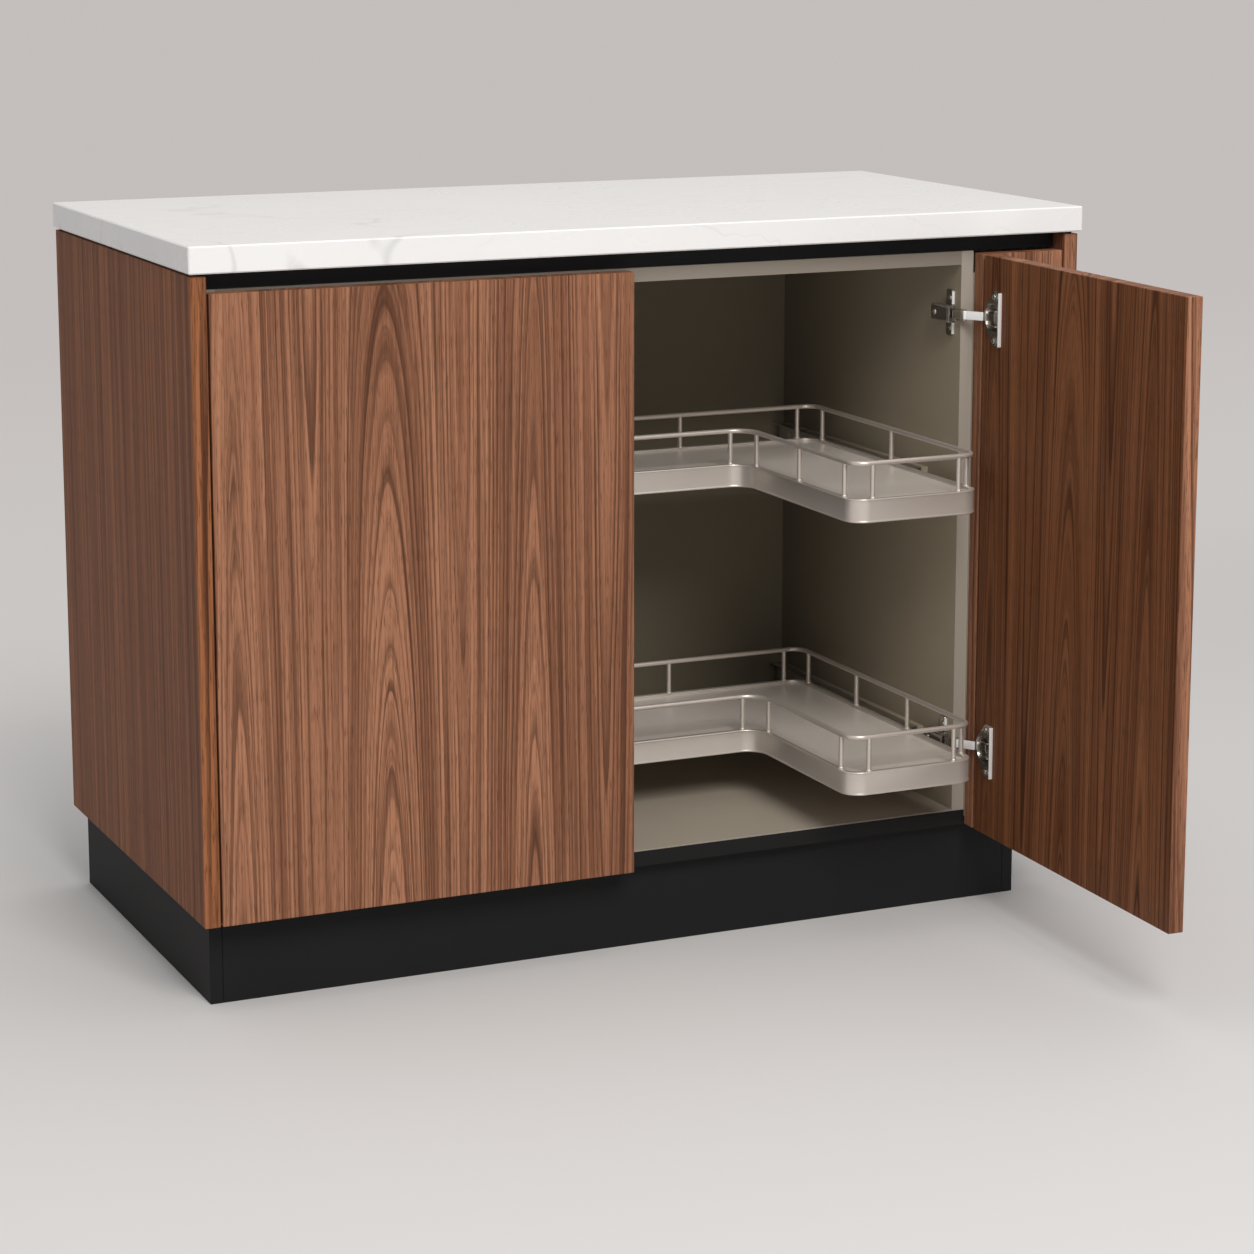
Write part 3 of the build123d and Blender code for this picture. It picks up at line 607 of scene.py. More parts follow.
def drawn_in(outline: Sequence[Point], inset: float) -> list[Point]:
    """Outline drawn in evenly on all sides.

    Args:
        outline: Closed outline.
        inset: Distance to draw it in by.

    Returns:
        The smaller outline, with as many points.
    """
    area = sum(a[0] * b[1] - b[0] * a[1] for a, b in zip(outline, [*outline[1:], outline[0]]))
    turn = math.copysign(1.0, area)
    points = []
    for index, here in enumerate(outline):
        point = Vector(here)
        before = (point - Vector(outline[index - 1])).normalized()
        after = (Vector(outline[(index + 1) % len(outline)]) - point).normalized()
        inward = Vector((-before.y - after.y, before.x + after.x)) * turn
        share = max(inward.length_squared / 2, 0.4)
        points.append(tuple(point + inward * inset / share))
    return points


def circle(centre: Point, radius: float, steps: int, start: float = 0.0, sweep: float = math.tau) -> list[Point]:
    """Points on a circle, or with a sweep under a full turn on an arc with both its ends."""
    count = steps if abs(sweep) >= math.tau else steps + 1
    return [(centre[0] + radius * math.cos(start + sweep * i / steps),
             centre[1] + radius * math.sin(start + sweep * i / steps)) for i in range(count)]


class Form:
    """One mesh made of closed shapes in the row frame, turned into place at the end."""

    def __init__(self, turn: Matrix | None = None) -> None:
        """Start an empty form.

        Args:
            turn: Turn from the place that it is drawn in to its place at rest.
        """
        self.mesh = bmesh.new()
        self.turn = turn or Matrix.Identity(4)

    def rings(self, loops: Sequence[Sequence[Vector]], closed: bool = False) -> None:
        """Skin over loops of equally many points.

        Args:
            loops: The loops in order.
            closed: Whether the last loop joins the first. If not, both ends are capped.
        """
        rows = [[self.mesh.verts.new(point) for point in loop] for loop in loops]
        pairs = list(zip(rows, rows[1:] + rows[:1])) if closed else list(zip(rows, rows[1:]))
        for low, high in pairs:
            for index in range(len(low)):
                after = (index + 1) % len(low)
                self.mesh.faces.new((low[index], low[after], high[after], high[index]))
        if not closed:
            self.mesh.faces.new(rows[0])
            self.mesh.faces.new(rows[-1])

    def slab(self, outline: Sequence[Point], low: float, high: float, way: Way, ease: float = 0.0004) -> None:
        """Plate with eased edges.

        Args:
            outline: Its outline, across and up.
            low: Where its thickness starts.
            high: Where it ends.
            way: Axis that the thickness runs along.
            ease: Radius of its edges.
        """
        soft = ease * (1 - math.sqrt(0.5))
        levels = [(ease, low), (soft, low + soft), (0.0, low + ease),
                  (0.0, high - ease), (soft, high - soft), (ease, high)]
        self.rings([[way.point(*point, level) for point in drawn_in(outline, inset)] for inset, level in levels])

    def turned_shape(self, profile: Sequence[Point], centre: Point, way: Way, steps: int = 32) -> None:
        """Shape turned on a lathe.

        Args:
            profile: Radius and place along the axis, from the middle of one end to the middle of the other.
            centre: Where the axis stands, across and up.
            way: Axis of the turning.
            steps: Pieces round.
        """
        self.rings([[way.point(*point, level) for point in circle(centre, radius, steps)]
                    for radius, level in profile])

    def piece(self, name: str, finish: Finish, body: str, slot: str, *replaced: str) -> bpy.types.Object:
        """Finish the form as a piece of the scene.

        Args:
            name: Name of the piece.
            finish: Its finish.
            body: CAD body that it rides on.
            slot: Material slot of the record; not used.
            replaced: CAD nodes that it stands for.

        Returns:
            The piece.
        """
        bmesh.ops.recalc_face_normals(self.mesh, faces=self.mesh.faces)
        self.mesh.transform(self.turn)
        mesh = bpy.data.meshes.new(name)
        self.mesh.to_mesh(mesh)
        self.mesh.free()
        return shown(name, mesh, finish, body, slot, *replaced)


def shown(name: str, mesh: bpy.types.Mesh, finish: Finish, body: str, slot: str,
          *replaced: str) -> bpy.types.Object:
    """Show a mesh as a piece that rides on a body.

    Args:
        name: Name of the piece.
        mesh: Its mesh, in place.
        finish: Its finish.
        body: CAD body that it rides on.
        slot: Material slot of the record; not used.
        replaced: CAD nodes that it stands for.

    Returns:
        The piece.
    """
    mesh.name = name
    mesh.materials.clear()
    mesh.materials.append(material_of(finish))
    for polygon in mesh.polygons:
        polygon.use_smooth = True
    mesh.set_sharp_from_angle(angle=SHARP_ANGLE)
    made = bpy.data.objects.new(name, mesh)
    bpy.context.scene.collection.objects.link(made)
    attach(made, body)
    if replaced:
        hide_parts(*replaced)
    LOG.info("%s: %d faces on %s", name, len(mesh.polygons), body)
    return made


class Fixing(NamedTuple):
    """Place and size of one fastener, read from its CAD solid.

    Attributes:
        head: Middle of the head's outer face.
        way: Direction that it is driven in.
        head_radius: Radius of the head.
        head_height: Height of the head.
        shank_radius: Radius of the shank.
        length: Whole length.
    """

    head: Vector
    way: Vector
    head_radius: float
    head_height: float
    shank_radius: float
    length: float

    @property
    def size(self) -> tuple[float, ...]:
        """Its sizes to a tenth of a millimetre."""
        return tuple(round(value, 4) for value in self[2:])


def solids_of(node: str) -> list[np.ndarray]:
    """Points of each separate solid in a CAD node."""
    merged = bmesh.new()
    merged.from_mesh(frame["nodes"][node].data)
    bmesh.ops.remove_doubles(merged, verts=merged.verts, dist=1e-6)
    left = set(merged.verts)
    solids = []
    while left:
        edge = {left.pop()}
        found = set(edge)
        while edge:
            edge = {far.other_vert(vert) for vert in edge for far in vert.link_edges} - found
            found |= edge
        left -= found
        solids.append(np.array([vert.co[:] for vert in found]))
    merged.free()
    return sorted(solids, key=lambda points: tuple(points.mean(0).round(5)))


def fixing_of(points: np.ndarray) -> Fixing:
    """Read a fastener's place and sizes from the points of its solid."""
    middle = points.mean(0)
    along = (points - middle) @ np.linalg.svd(points - middle)[2][0]
    ends = [points[np.abs(along - end) < 1e-5] for end in (along.min(), along.max())]
    spans = [np.linalg.norm(end - end.mean(0), axis=1).max() for end in ends]
    head, tip = (0, 1) if spans[0] > spans[1] else (1, 0)
    centre = ends[head].mean(0)
    way = ends[tip].mean(0) - centre
    length = float(np.linalg.norm(way))
    way = way / length
    deep = (points - centre) @ way
    spread = np.linalg.norm(points - centre - np.outer(deep, way), axis=1)
    height = float(deep[spread > spans[head] * 0.98].max())
    return Fixing(Vector(centre), Vector(way), float(spans[head]), height, float(spans[tip]), length)


class Shape(Enum):
    """Small shape that is repeated, drawn with radius 1 and height 1 along +Z."""

    CROSS_HEAD = "cross_head"
    THREAD = "thread"
    ROD = "rod"
    COLLAR = "collar"

    def build(self) -> bpy.types.Object:
        """Make the shape as an object outside the scene."""
        form = Form()
        if self is Shape.CROSS_HEAD:
            form.rings(cross_head_loops())
        elif self is Shape.THREAD:
            crests = 9
            profile = [(0.8, 0.0)]
            for turn in range(crests):
                start = 0.08 + 0.84 * turn / crests
                profile += [(0.78, start), (1.0, start + 0.42 / crests)]
            form.turned_shape([*profile, (0.78, 0.93), (0.25, 1.0)], (0.0, 0.0), Way.Z, 12)
        elif self is Shape.ROD:
            form.turned_shape([(1.0, 0.0), (1.0, 1.0)], (0.0, 0.0), Way.Z, 20)
        else:
            form.turned_shape([(1.0, 0.0), (1.0, 0.5), (0.94, 0.76), (0.80, 0.93), (0.74, 1.0)],
                              (0.0, 0.0), Way.Z, 20)
        bmesh.ops.recalc_face_normals(form.mesh, faces=form.mesh.faces)
        mesh = bpy.data.meshes.new(self.value)
        form.mesh.to_mesh(mesh)
        form.mesh.free()
        return bpy.data.objects.new(self.value, mesh)


def cross_head_loops() -> list[list[Vector]]:
    """Loops of a raised screw head with a cross recess, from its underside to the recess floor."""
    arm, half, count = 0.50, 0.12, 24
    quadrant = [(arm, -half), (arm, 0.0), (arm, half), (0.30, half), (half, half), (half, 0.30)]
    cross = [tuple(Matrix.Rotation(math.pi / 2 * turn, 2) @ Vector(point))
             for turn in range(4) for point in quadrant]
    start = -math.tau / count
    loops = [[Vector((x, y, level)) for x, y in circle((0.0, 0.0), radius, count, start)]
             for radius, level in ((1.0, 1.0), (1.0, 0.55), (0.93, 0.30), (0.80, 0.12), (0.64, 0.0))]
    floor = [(0.7 * x, 0.7 * y) for x, y in cross]
    return loops + [[Vector((x, y, level)) for x, y in outline] for outline, level in ((cross, 0.0), (floor, 0.75))]


class Pattern:
    """Geometry Nodes tree that stands a stem and a cap on each point of a mesh, along the point's own way."""

    SIZES = ("Stem Start", "Stem Radius", "Stem Length", "Cap Radius", "Cap Height")

    def __init__(self, name: str, stem: Shape, cap: Shape) -> None:
        """Build the tree.

        Args:
            name: Name of the tree.
            stem: Shape of the stems.
            cap: Shape of the caps.
        """
        self.tree = bpy.data.node_groups.new(name, "GeometryNodeTree")
        self.shapes = (stem.build(), cap.build())
        face = self.tree.interface
        face.new_socket("Geometry", in_out="INPUT", socket_type="NodeSocketGeometry")
        self.keys = {size: face.new_socket(size, in_out="INPUT", socket_type="NodeSocketFloat").identifier
                     for size in self.SIZES}
        self.keys["Finish"] = face.new_socket("Finish", in_out="INPUT",
                                              socket_type="NodeSocketMaterial").identifier
        face.new_socket("Geometry", in_out="OUTPUT", socket_type="NodeSocketGeometry")
        self.wire()

    def add(self, kind: str, settings: dict | None = None, **values: object) -> bpy.types.Node:
        """Add a node with its settings, and with input values by name."""
        node = self.tree.nodes.new(kind)
        for key, value in (settings or {}).items():
            setattr(node, key, value)
        for key, value in values.items():
            node.inputs[key.replace("_", " ")].default_value = value
        return node

    def wire(self) -> None:
        """Join the nodes up."""
        link = self.tree.links.new
        given = self.add("NodeGroupInput")
        way = self.add("GeometryNodeInputNamedAttribute", {"data_type": "FLOAT_VECTOR"}, Name="way")
        turn = self.add("FunctionNodeAlignRotationToVector", {"axis": "Z"})
        link(way.outputs["Attribute"], turn.inputs["Vector"])
        shift = self.add("ShaderNodeVectorMath", {"operation": "SCALE"})
        link(way.outputs["Attribute"], shift.inputs[0])
        link(given.outputs["Stem Start"], shift.inputs["Scale"])
        moved = self.add("GeometryNodeSetPosition")
        link(given.outputs["Geometry"], moved.inputs["Geometry"])
        link(shift.outputs[0], moved.inputs["Offset"])
        both = self.add("GeometryNodeJoinGeometry")
        places = (moved.outputs[0], given.outputs["Geometry"])
        for shape, place, (radius, height) in zip(self.shapes, places, (self.SIZES[1:3], self.SIZES[3:])):
            source = self.add("GeometryNodeObjectInfo", None, Object=shape)
            size = self.add("ShaderNodeCombineXYZ")
            stand = self.add("GeometryNodeInstanceOnPoints")
            for axis, key in zip("XYZ", (radius, radius, height)):
                link(given.outputs[key], size.inputs[axis])
            link(place, stand.inputs["Points"])
            link(source.outputs["Geometry"], stand.inputs["Instance"])
            link(turn.outputs[0], stand.inputs["Rotation"])
            link(size.outputs[0], stand.inputs["Scale"])
            link(stand.outputs[0], both.inputs[0])
        real = self.add("GeometryNodeRealizeInstances")
        dress = self.add("GeometryNodeSetMaterial")
        out = self.add("NodeGroupOutput")
        link(both.outputs[0], real.inputs[0])
        link(real.outputs[0], dress.inputs["Geometry"])
        link(given.outputs["Finish"], dress.inputs["Material"])
        link(dress.outputs[0], out.inputs[0])

    def baked(self, places: Sequence[Vector], ways: Sequence[Vector], sizes: Sequence[float],
              finish: Finish) -> bpy.types.Mesh:
        """Plain mesh of the pattern.

        Args:
            places: Where the shapes stand.
            ways: The way that each one points.
            sizes: Start, radius and length of the stem, radius and height of the cap.
            finish: Finish of them all.

        Returns:
            The mesh, with no modifier left.
        """
        points = bpy.data.meshes.new("pattern_points")
        points.from_pydata([tuple(place) for place in places], [], [])
        attribute = points.attributes.new("way", "FLOAT_VECTOR", "POINT")
        for item, way in zip(attribute.data, ways):
            item.vector = way
        carrier = bpy.data.objects.new("pattern_carrier", points)
        bpy.context.scene.collection.objects.link(carrier)
        modifier = carrier.modifiers.new("pattern", "NODES")
        modifier.node_group = self.tree
        for key, value in zip(self.SIZES, sizes):
            modifier[self.keys[key]] = value
        modifier[self.keys["Finish"]] = material_of(finish)
        result = carrier.evaluated_get(bpy.context.evaluated_depsgraph_get())
        mesh = bpy.data.meshes.new_from_object(result)
        bpy.data.objects.remove(carrier)
        bpy.data.meshes.remove(points)
        return mesh


def joined_mesh(meshes: Sequence[bpy.types.Mesh]) -> bpy.types.Mesh:
    """One mesh of several."""
    whole = bmesh.new()
    for mesh in meshes:
        whole.from_mesh(mesh)
    made = bpy.data.meshes.new("joined")
    whole.to_mesh(made)
    whole.free()
    return made


CHAMPAGNE = (0.66, 0.605, 0.545)
TRAY_LACQUER = Metal("tray_lacquer", CHAMPAGNE, Sheen.SATIN, None, 0.5, 0.55)
TRAY_SHEET = Metal("tray_sheet", scaled(CHAMPAGNE, 1.3), Sheen.SATIN, Axis.X, 0.5, 0.3)
TRAY_RAIL = Metal("tray_rail", (0.66, 0.60, 0.54), Sheen.SATIN, None, 0.3, 0.6)
NICKEL = Metal("nickel", (0.50, 0.465, 0.42), Sheen.POLISHED, None, 0.3, 0.9)
# Near-white nickel: a painted highlight, used on the link and on the lips of the cup and the plate.
PAINTED_HIGHLIGHT_NICKEL = Metal("painted_highlight_nickel", (0.93, 0.92, 0.90), Sheen.SATIN, None, 0.3, 0.2)
ZINC = Metal("zinc", (0.70, 0.69, 0.67), Sheen.SATIN, None, 0.5)
RUNNER_ZINC = Metal("runner_zinc", (0.62, 0.62, 0.61), Sheen.SATIN, Axis.Y, 0.8)
BLACK_METAL = Coated("black_channel", (0.007, 0.007, 0.0075), (0.010, 0.010, 0.011), Sheen.MATT, 1500.0, 0.2)


@dataclass
class Tray:
    """One L-shaped tray: band, deck, rail and posts. Sizes are in metres.

    Attributes:
        level: Which tray.
        side_leg: Depth of the leg behind the blind front.
        leg_width: Width of the leg that comes through the door opening.
        corner: Radius of the corners, seen from above.
        band_wall: Thickness of the band.
        rail_inset: Middle of the rail, in from the band's face.
        rail_rise: Middle of the rail, over the top of the band.
        rail_radius: Radius of the rail.
        post_radius: Radius of a post.
        post_spacing: Longest stretch between posts.
        lip: How far the band's rolled top edge reaches in from its face.
        sunk: How far the deck lies under the top of the band.
        sheet: Thickness of the deck.
    """

    level: str
    side_leg: float
    leg_width: float = 0.172
    corner: float = 0.024
    band_wall: float = 0.002
    rail_inset: float = 0.005
    rail_rise: float = 0.041
    rail_radius: float = 0.003
    post_radius: float = 0.0029
    post_spacing: float = 0.19
    lip: float = 0.0072
    sunk: float = 0.0036
    sheet: float = 0.0009

    def __post_init__(self) -> None:
        """Read where the tray's band lies."""
        self.low, self.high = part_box(f"tray_fascia_{self.level}")

    def corners(self, inset: float = 0.0) -> list[Point]:
        """Corners of its plan, drawn in by inset."""
        left, right = self.low.x + inset, self.high.x - inset
        inner, step = self.high.x - self.leg_width + inset, self.high.y - self.side_leg + inset
        front, back = self.low.y + inset, self.high.y - inset
        return [(left, step), (left, back), (right, back), (right, front), (inner, front), (inner, step)]

    def outline(self) -> list[Point]:
        """Rounded outline of its plan."""
        return rounded([(*corner, self.corner) for corner in self.corners()], 12)

    def lofted(self, profile: Sequence[Point], closed: bool) -> Form:
        """Form whose section runs round the plan.

        Args:
            profile: Inset from the band's face and height from the band's top.
            closed: Whether the section is a ring, not a plate.

        Returns:
            The form.
        """
        form = Form()
        outline = self.outline()
        form.rings([[Vector((x, y, self.high.z + rise)) for x, y in drawn_in(outline, inset)]
                    for inset, rise in profile], closed)
        return form

    def build(self, posts: Pattern) -> None:
        """Build and dress the tray's pieces.

        Args:
            posts: Pattern of the posts and their collars.
        """
        self.band()
        self.deck()
        self.rail()
        self.stand_posts(posts)

    def add(self, form: Form, part: str, finish: Finish) -> None:
        """Show a form in place of the tray's CAD node."""
        form.piece(f"{part}_{self.level}", finish, f"tray_{self.level}", "tray_metal", f"tray_{part}_{self.level}")

    def band(self) -> None:
        """Deep band with a small bead along both edges and a rolled lip over the deck."""
        height = self.high.z - self.low.z
        wall = self.band_wall
        bead = [(0.0010, 0.0), (0.0004, 0.0002), (0.0, 0.0008), (0.0, 0.0016), (0.0004, 0.0022), (0.0006, 0.0030)]
        outer = [(inset, -depth) for inset, depth in bead] + [(inset, depth - height) for inset, depth in bead[::-1]]
        lip, sunk = self.lip, self.sunk
        inner = [(wall - 0.0004, 0.0002 - height), (wall, 0.0008 - height), (wall, -sunk), (lip, -sunk),
                 (lip, -0.0011), (lip - 0.0003, -0.0004), (lip - 0.0010, 0.0)]
        self.add(self.lofted(outer + inner, True), "fascia", TRAY_LACQUER)

    def deck(self) -> None:
        """Sheet under the band's lip, with a shallow swage round its middle."""
        wall, lip, low, high = self.band_wall, self.lip, -self.sunk - self.sheet, -self.sunk
        profile = [(wall, low), (wall, high), (lip + 0.004, high), (lip + 0.005, high - 0.0001),
                   (lip + 0.006, high - 0.0004), (lip + 0.007, high - 0.0005)]
        self.add(self.lofted(profile, False), "deck", TRAY_SHEET)

    def rail(self) -> None:
        """Round rail that follows the plan."""
        section = circle((self.rail_inset, self.rail_rise), self.rail_radius, 16)
        self.add(self.lofted(section, True), "gallery", TRAY_RAIL)

    def stand_posts(self, posts: Pattern) -> None:
        """Posts at both ends of each bend of the rail and evenly along its long runs."""
        corners = [Vector(corner) for corner in self.corners(self.rail_inset)]
        base = self.high.z - 0.0002
        places = []
        for start, end in zip(corners, corners[1:] + corners[:1]):
            way = (end - start).normalized() * self.corner
            run = end - start - way * 2
            count = math.ceil(run.length / self.post_spacing)
            places += [(start + way + run * (step / count)).to_3d() + Vector((0.0, 0.0, base))
                       for step in range(count + 1)]
        height = self.rail_rise - self.rail_radius / 2
        sizes = (0.0, self.post_radius, height, self.post_radius + 0.0011, 0.0026)
        mesh = posts.baked(places, [Vector((0.0, 0.0, 1.0))] * len(places), sizes, TRAY_RAIL)
        shown(f"posts_{self.level}", mesh, TRAY_RAIL, f"tray_{self.level}", "tray_metal",
              f"tray_posts_{self.level}")


@dataclass
class Hinge:
    """One concealed hinge: cup in the door, link, and arm on its mounting plate. Sizes are in metres.

    Attributes:
        level: Which hinge.
        cup_inset: Middle of the cup, in from the door's hinge edge.
        cup_radius: Outer radius of the bowl.
        cup_inside: Inner radius of the bowl.
        cup_depth: Depth of the bowl in the leaf.
        rim_radius: Radius of the flange.
        ear_offset: Middle of the ears' screws from the middle of the cup, away from the hinge edge.
        ear_rise: Screws above and below the middle.
        ear_radius: Radius of an ear's end.
        link_reach: Length of the link.
        link_half: Half height of the link.
        arm_half: Half height of the arm.
        arm_depth: How far the arm stands out from the carcass side.
        arm_start: Front end of the arm, behind the door's front plane when closed.
        arm_length: Length of the arm.
    """

    level: str
    cup_inset: float = 0.0225
    cup_radius: float = 0.0174
    cup_inside: float = 0.0163
    cup_depth: float = 0.0117
    rim_radius: float = 0.0205
    ear_offset: float = 0.006
    ear_rise: float = 0.026
    ear_radius: float = 0.007
    link_reach: float = 0.023
    link_half: float = 0.005
    arm_half: float = 0.0095
    arm_depth: float = 0.016
    arm_start: float = 0.0235
    arm_length: float = 0.0415

    def __post_init__(self) -> None:
        """Read where the hinge's axes and the closed door lie."""
        self.axis = joint_place("door_hinge")
        self.pin = joint_place(f"link_pivot_{self.level}")
        self.front = self.axis.y - DOOR.axis_depth
        self.leaf = self.front + DOOR.thickness
        self.cup_x = self.axis.x - DOOR.axis_inset - self.cup_inset
        self.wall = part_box(f"hinge_plate_{self.level}")[1].x

    def build(self) -> None:
        """Build and dress the hinge's pieces."""
        self.cup()
        self.link()
        self.arm()
        self.plate()
        self.adjuster()

    def add(self, form: Form, part: str, body: str) -> None:
        """Show a form in place of the hinge's CAD node."""
        # The link takes the near-white nickel as a painted highlight.
        finish = PAINTED_HIGHLIGHT_NICKEL if part == "link" else NICKEL
        form.piece(f"{part}_{self.level}", finish, body, "nickel", f"hinge_{part}_{self.level}")

    def flange_outline(self) -> list[Point]:
        """Outline of the cup's flange: straight on the far side, tapering to the rim on the near side."""
        high = self.ear_rise + self.ear_radius
        ear = -self.ear_offset
        reach = math.hypot(ear, self.ear_rise)
        turn = math.atan2(self.ear_rise, ear) - math.acos((self.rim_radius - self.ear_radius) / reach)
        far = [(-self.rim_radius, 0.010), (-self.rim_radius, 0.020), (-self.rim_radius, high - 0.003),
               (-self.rim_radius + 0.0009, high - 0.0009), (-self.rim_radius + 0.003, high)]
        arc = circle((ear, self.ear_rise), self.ear_radius, 8, math.pi / 2, turn - math.pi / 2)
        near = circle((0.0, 0.0), self.rim_radius, 14, turn, -turn)
        upper = far + arc + near
        lower = [(x, -z) for x, z in upper[-2::-1]]
        return [(self.cup_x + x, self.pin.z + z) for x, z in upper + lower]

    def cup(self) -> None:
        """Bowl, flange with its ears, cheeks and raised lip."""
        form = Form(turned_about(self.axis, DOOR_OPENING))
        at = (self.cup_x, self.pin.z)
        floor = self.leaf - self.cup_depth
        out, inn, rim = self.cup_radius, self.cup_inside, self.leaf + 0.0013
        form.turned_shape([(out - 0.0040, floor), (out - 0.0010, floor + 0.0002), (out - 0.0002, floor + 0.0010),
                           (out, floor + 0.0022), (out, rim - 0.0004), (out - 0.0002, rim), (inn + 0.0002, rim),
                           (inn, rim - 0.0003), (inn, floor + 0.0026), (inn - 0.0006, floor + 0.0016),
                           (inn - 0.0022, floor + 0.0011)], at, Way.Y, 48)
        outline = self.flange_outline()
        hole = [Vector((x - at[0], z - at[1])).normalized() * (inn + 0.0005) for x, z in outline]
        hole = [(at[0] + arm.x, at[1] + arm.y) for arm in hole]
        low, top, ease = self.leaf, self.leaf + 0.0012, 0.0003
        form.rings([[Way.Y.point(*point, level) for point in points] for points, level in (
            (drawn_in(outline, ease), low), (outline, low + ease), (outline, top - ease),
            (drawn_in(outline, ease), top), (hole, top), (hole, low))], True)
        for side in (-1, 1):
            self.ear(form, side)
            low_z, high_z = sorted((self.pin.z + side * 0.0082, self.pin.z + side * 0.0102))
            cheek = rounded([(self.cup_x - 0.010, floor + 0.0006, 0.0), (self.cup_x + 0.010, floor + 0.0006, 0.0),
                             (self.cup_x + 0.010, self.leaf + 0.0024, 0.004),
                             (self.cup_x - 0.010, self.leaf + 0.0024, 0.004)])
            form.slab(cheek, low_z, high_z, Way.Z, 0.0003)
        edge, half = self.cup_x - self.rim_radius, self.ear_rise + self.ear_radius - 0.0012
        lip = rounded([(edge - 0.0002, self.pin.z - half, 0.0008), (edge + 0.0016, self.pin.z - half, 0.0008),
                       (edge + 0.0016, self.pin.z + half, 0.0008), (edge - 0.0002, self.pin.z + half, 0.0008)])
        self.add(form, "cup", "door")
        # Raised lip along the flange's straight edge, in near-white nickel as a painted highlight.
        highlight_strips = Form(form.turn)
        highlight_strips.slab(lip, self.leaf, self.leaf + 0.0046, Way.Y, 0.0005)
        highlight_strips.piece(f"cup_lip_{self.level}", PAINTED_HIGHLIGHT_NICKEL, "door", "nickel")

    def ear(self, form: Form, side: int) -> None:
        """Raised pad of one ear, round its screw."""
        at = (self.cup_x - self.ear_offset, self.pin.z + side * self.ear_rise)
        form.turned_shape([(0.0056, self.leaf + 0.0004), (0.0056, self.leaf + 0.0014), (0.0053, self.leaf + 0.0017),
                           (0.0046, self.leaf + 0.0018)], at, Way.Y, 32)

    def link(self) -> None:
        """Flat bar with an eye for the pin."""
        form = Form(turned_about(self.pin, LINK_OPENING))
        eye, tip = 0.0024, 0.0015
        part = math.asin(tip / eye)
        outline = circle((self.pin.x, self.pin.y), eye, 18, part - math.pi, math.tau - 2 * part - 0.0001)
        outline += circle((self.pin.x - self.link_reach, self.pin.y), tip, 8, math.pi / 2, math.pi)
        form.slab(outline, self.pin.z - self.link_half, self.pin.z + self.link_half, Way.Z, 0.0005)
        self.add(form, "link", f"link_{self.level}")

    def arm(self) -> None:
        """Folded arm with a lipped front end, its bridge and the two cheeks of its nose."""
        form = Form()
        near, half, z = self.wall - self.arm_depth, self.arm_half, self.pin.z
        start = self.front + self.arm_start
        end = start + self.arm_length
        wall, deep = 0.0015, 0.010
        section = rounded([(near + deep, z - half, 0.0), (near + deep, z - half + wall, 0.0),
                           (near + wall, z - half + wall, 0.0008), (near + wall, z + half - wall, 0.0008),
                           (near + deep, z + half - wall, 0.0), (near + deep, z + half, 0.0),
                           (near, z + half, 0.0022), (near, z - half, 0.0022)])
        form.slab(section, start, end, Way.Y, 0.0003)
        lip = rounded([(near + deep, z - half - 0.0005, 0.0), (near + deep, z - half + 0.0009, 0.0),
                       (near + 0.0009, z - half + 0.0009, 0.0008), (near + 0.0009, z + half - 0.0009, 0.0008),
                       (near + deep, z + half - 0.0009, 0.0), (near + deep, z + half + 0.0005, 0.0),
                       (near - 0.0005, z + half + 0.0005, 0.0026), (near - 0.0005, z - half - 0.0005, 0.0026)])
        for back in (0.0, 0.0034):
            form.slab(lip, start + back, start + back + 0.0016, Way.Y, 0.0004)
        bridge = [(near + 0.0012, z - half + 0.0012), (near + 0.0055, z - half + 0.0012),
                  (near + 0.0055, z + half - 0.0012), (near + 0.0012, z + half - 0.0012)]
        form.slab(bridge, start + 0.0098, start + 0.0198, Way.Y, 0.0004)
        root = Vector((self.axis.x - DOOR.axis_inset - 0.025, self.front + 0.038))
        for low in (0.0052, -0.0070):
            form.slab(capsule(root, self.pin.xy, 0.0019), z + low, z + low + 0.0018, Way.Z, 0.0003)
        self.add(form, "arm", "cabinet")

    def plate(self) -> None:
        """Cross-shaped plate with the block that carries the arm."""
        form = Form()
        middle, z = self.front + 0.042, self.pin.z
        wing = rounded([(middle - 0.0055, z - 0.028, 0.003), (middle + 0.0095, z - 0.028, 0.004),
                        (middle + 0.0095, z + 0.028, 0.004), (middle - 0.0055, z + 0.028, 0.003)], 8)
        form.slab(wing, self.wall - 0.003, self.wall, Way.X, 0.0005)
        foot = rounded([(middle, z - 0.0078, 0.0), (middle + 0.026, z - 0.0078, 0.002),
                        (middle + 0.026, z + 0.0078, 0.002), (middle, z + 0.0078, 0.0)])
        form.slab(foot, self.wall - 0.0028, self.wall, Way.X, 0.0005)
        block = rounded([(middle + 0.004, z - 0.0078, 0.001), (middle + 0.021, z - 0.0078, 0.001),
                         (middle + 0.021, z + 0.0078, 0.001), (middle + 0.004, z + 0.0078, 0.001)])
        form.slab(block, self.wall - 0.0142, self.wall - 0.0002, Way.X, 0.0005)
        self.add(form, "plate", "cabinet")
        # Strips along the wings' front edges, in near-white nickel as a painted highlight.
        highlight_strips = Form()
        for low, high in ((z - 0.0255, z - 0.0102), (z + 0.0102, z + 0.0255)):
            front = middle - 0.0056
            strip = [(front, low), (front + 0.0012, low), (front + 0.0012, high), (front, high)]
            highlight_strips.slab(strip, self.wall - 0.0036, self.wall - 0.0002, Way.X, 0.0003)
        highlight_strips.piece(f"plate_lip_{self.level}", PAINTED_HIGHLIGHT_NICKEL, "cabinet", "nickel")

